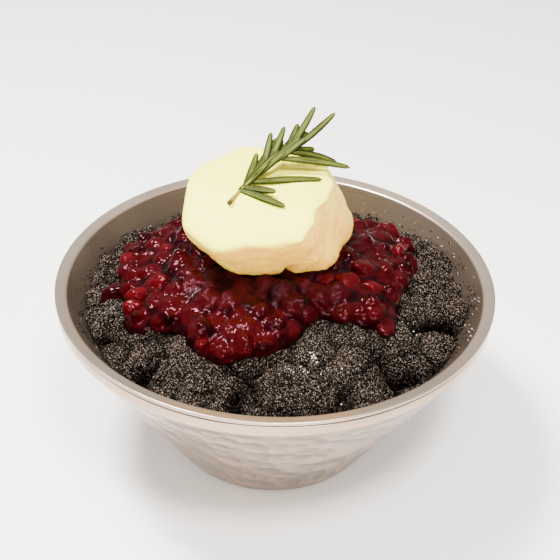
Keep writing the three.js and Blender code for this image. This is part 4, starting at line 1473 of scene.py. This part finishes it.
class DESSERT_OT_sprig(bpy.types.Operator):
    """Adds the sprig of rosemary"""

    bl_idname = "dessert.sprig"
    bl_label = "Rosemary"

    leaf_steps, leaf_corners = 26, 18
    stem_steps, stem_sides = 48, 14
    # The stem: share of its radius between knots, and waves of the knots as rise, rate and start
    waist, knots = 0.85, ((0.08, 40, 0), (0.06, 17, 1))
    # Marks of bark and of the cut end, and the share of the stem that the cut end's colour reaches
    bark, cut_end, cut_reach = 1.0, 2.2, 0.06
    # A leaf's section: depth and half width of the groove and of the hollow below, thickness below
    groove_depth, groove_width, hollow_depth, hollow_width, under_share = 0.55, 0.3, 0.5, 0.45, 0.75
    fullness = 1.15  # makes up for the thickness that the groove takes
    tip_from, tip_rounding, tip_length = 0.92, 0.97, 0.35
    tone_draw = 31

    def execute(self, context):
        settings = context.scene.dessert_sprig
        line_points = []
        for bearing, tilt, above in STEM_LINE:
            direction = on_bearing(bearing, tilt)
            reach = float(cream_reach(direction[None])[0])
            line_points.append(CREAM_CENTRE + direction * (reach + STEM_RADIUS + above))
        self.start, self.pull, self.end = line_points
        parts = [self.stem()] + [self.leaf(number, *leaf) for number, leaf in enumerate(LEAVES)]
        points, triangles, marks, offset = [], [], [], 0
        for part_points, part_triangles, part_marks in parts:
            points.append(part_points)
            triangles.append(part_triangles + offset)
            marks.append(part_marks)
            offset += len(part_points)
        marks = dict(zip(LEAF_MARKS, np.vstack(marks).T))
        piece = add_mesh("rosemary_needles", np.vstack(points), np.vstack(triangles), **marks)
        leaf_colours = (settings.leaf_dark, settings.leaf_light, settings.midrib)
        finish = leaf_finish(*leaf_colours, settings.stem, settings.cut)
        settle(piece, finish, "rosemary", "rosemary_sprig")
        return {"FINISHED"}

    def point(self, share):
        """A place along the stem."""
        return curve(self.start, self.pull, self.end, share)

    def heading(self, share):
        """The way that the stem runs."""
        return unit(2 * (self.pull - self.start) * (1 - share) + 2 * (self.end - self.pull) * share)

    def stem(self):
        """The knotty stem, thinner towards its tip."""
        angles = full_turn(self.stem_sides)
        rings, woody = [], []
        for share in np.linspace(0, 1, self.stem_steps + 1):
            middle, ahead = self.point(share), self.heading(share)
            right = unit(np.cross(ahead, middle - CREAM_CENTRE))
            up = np.cross(right, ahead)
            swell = sum(rise * math.sin(share * rate + start) for rise, rate, start in self.knots)
            radius = STEM_RADIUS * (1 - STEM_TAPER * share) * (self.waist + swell)
            rings.append(middle - radius * (np.cos(angles)[:, None] * right + np.sin(angles)[:, None] * up))
            mark = blend(self.cut_end, self.bark, min(1.0, share / self.cut_reach))
            woody.append(np.full(self.stem_sides, mark))
        points, triangles = closed_rings(rings, self.point(0.0), self.point(1.0))
        woody = np.concatenate((*woody, (self.cut_end, self.bark)))
        half, zero = np.full(len(points), 0.5), np.zeros(len(points))
        return points, triangles[:, ::-1], np.column_stack((half, zero, woody, half))

    def leaf(self, number, along, turn, spread, bend, length):
        """A needle with rolled edges and a groove down its middle."""
        root, ahead = self.point(along), self.heading(along)
        out = unit(root - CREAM_CENTRE)
        facing = on_bearing(*LEAF_FACING)
        right = unit(np.cross(ahead, out))
        up = np.cross(right, ahead)
        away = right * math.cos(math.radians(turn)) + up * math.sin(math.radians(turn))
        angles = full_turn(self.leaf_corners)
        x, z = np.cos(angles), np.sin(angles)
        upper = 1 - self.groove_depth * hill(x / self.groove_width)
        lower = self.under_share - self.hollow_depth * hill(x / self.hollow_width)
        profile = z * np.where(z > 0, upper, lower)
        rings, across, far = [], [], []
        middle = root.copy()
        for step in range(self.leaf_steps + 1):
            share = step / self.leaf_steps
            angle = math.radians(spread + bend * (share - 0.5))
            heading = ahead * math.cos(angle) + away * math.sin(angle)
            if step:
                middle = middle + heading * length / self.leaf_steps
            centre = clear_of_cream(middle, LEAF_CLEARANCE)
            wave = math.pi * blend(LEAF_SWELL_FROM, LEAF_SWELL_TO, share)
            tip = max(0.0, share - self.tip_from) / (1 - self.tip_from)
            swell = math.sin(wave) ** LEAF_SWELL_POWER * math.sqrt(1 - self.tip_rounding * tip**2)
            sideways = unit(np.cross(heading, facing))
            face = np.cross(sideways, heading)
            wide = x[:, None] * sideways * (swell * LEAF_WIDTH / 2)
            thick = profile[:, None] * face * (swell * LEAF_THICKNESS / 2 * self.fullness)
            rings.append(centre + wide + thick)
            across.append(np.abs(x))
            far.append(np.full(self.leaf_corners, share))
        start, end = rings[0].mean(axis=0), rings[-1].mean(axis=0) + heading * self.tip_length
        points, triangles = closed_rings(rings, start, end)
        across = np.concatenate((*across, (0.5, 0.5)))
        far = np.concatenate((*far, (0.0, 1.0)))
        tone = np.full(len(points), float(scatter(number, self.tone_draw)))
        return points, triangles, np.column_stack((across, far, np.zeros(len(points)), tone))


OPERATORS = (
    DESSERT_OT_stage,
    DESSERT_OT_liner,
    DESSERT_OT_shell,
    DESSERT_OT_crumb,
    DESSERT_OT_grains,
    DESSERT_OT_compote,
    DESSERT_OT_cream,
    DESSERT_OT_sprig,
)


class DESSERT_PT_panel(bpy.types.Panel):
    """The dessert's pieces and their settings"""

    bl_idname = "DESSERT_PT_panel"
    bl_label = "Shaved-ice dessert"
    bl_space_type = "VIEW_3D"
    bl_region_type = "UI"
    bl_category = "Dessert"

    def draw(self, context):
        for operator in OPERATORS:
            self.layout.operator(operator.bl_idname)
        for name, group in SETTINGS.items():
            box = self.layout.box()
            for prop in group.__annotations__:
                box.prop(getattr(context.scene, name), prop)


CLASSES = (*SETTINGS.values(), *OPERATORS, DESSERT_PT_panel)


def register():
    for cls in CLASSES:
        bpy.utils.register_class(cls)
    for name, group in SETTINGS.items():
        setattr(bpy.types.Scene, name, PointerProperty(type=group))


def unregister():
    for name in SETTINGS:
        delattr(bpy.types.Scene, name)
    for cls in reversed(CLASSES):
        bpy.utils.unregister_class(cls)


def main():
    register()
    bpy.ops.dessert.stage()
    bpy.ops.dessert.liner()
    bpy.ops.dessert.shell()
    bpy.ops.dessert.crumb()
    bpy.ops.dessert.grains()
    bpy.ops.dessert.compote()
    bpy.ops.dessert.cream()
    bpy.ops.dessert.sprig()


if __name__ == "__main__":
    main()
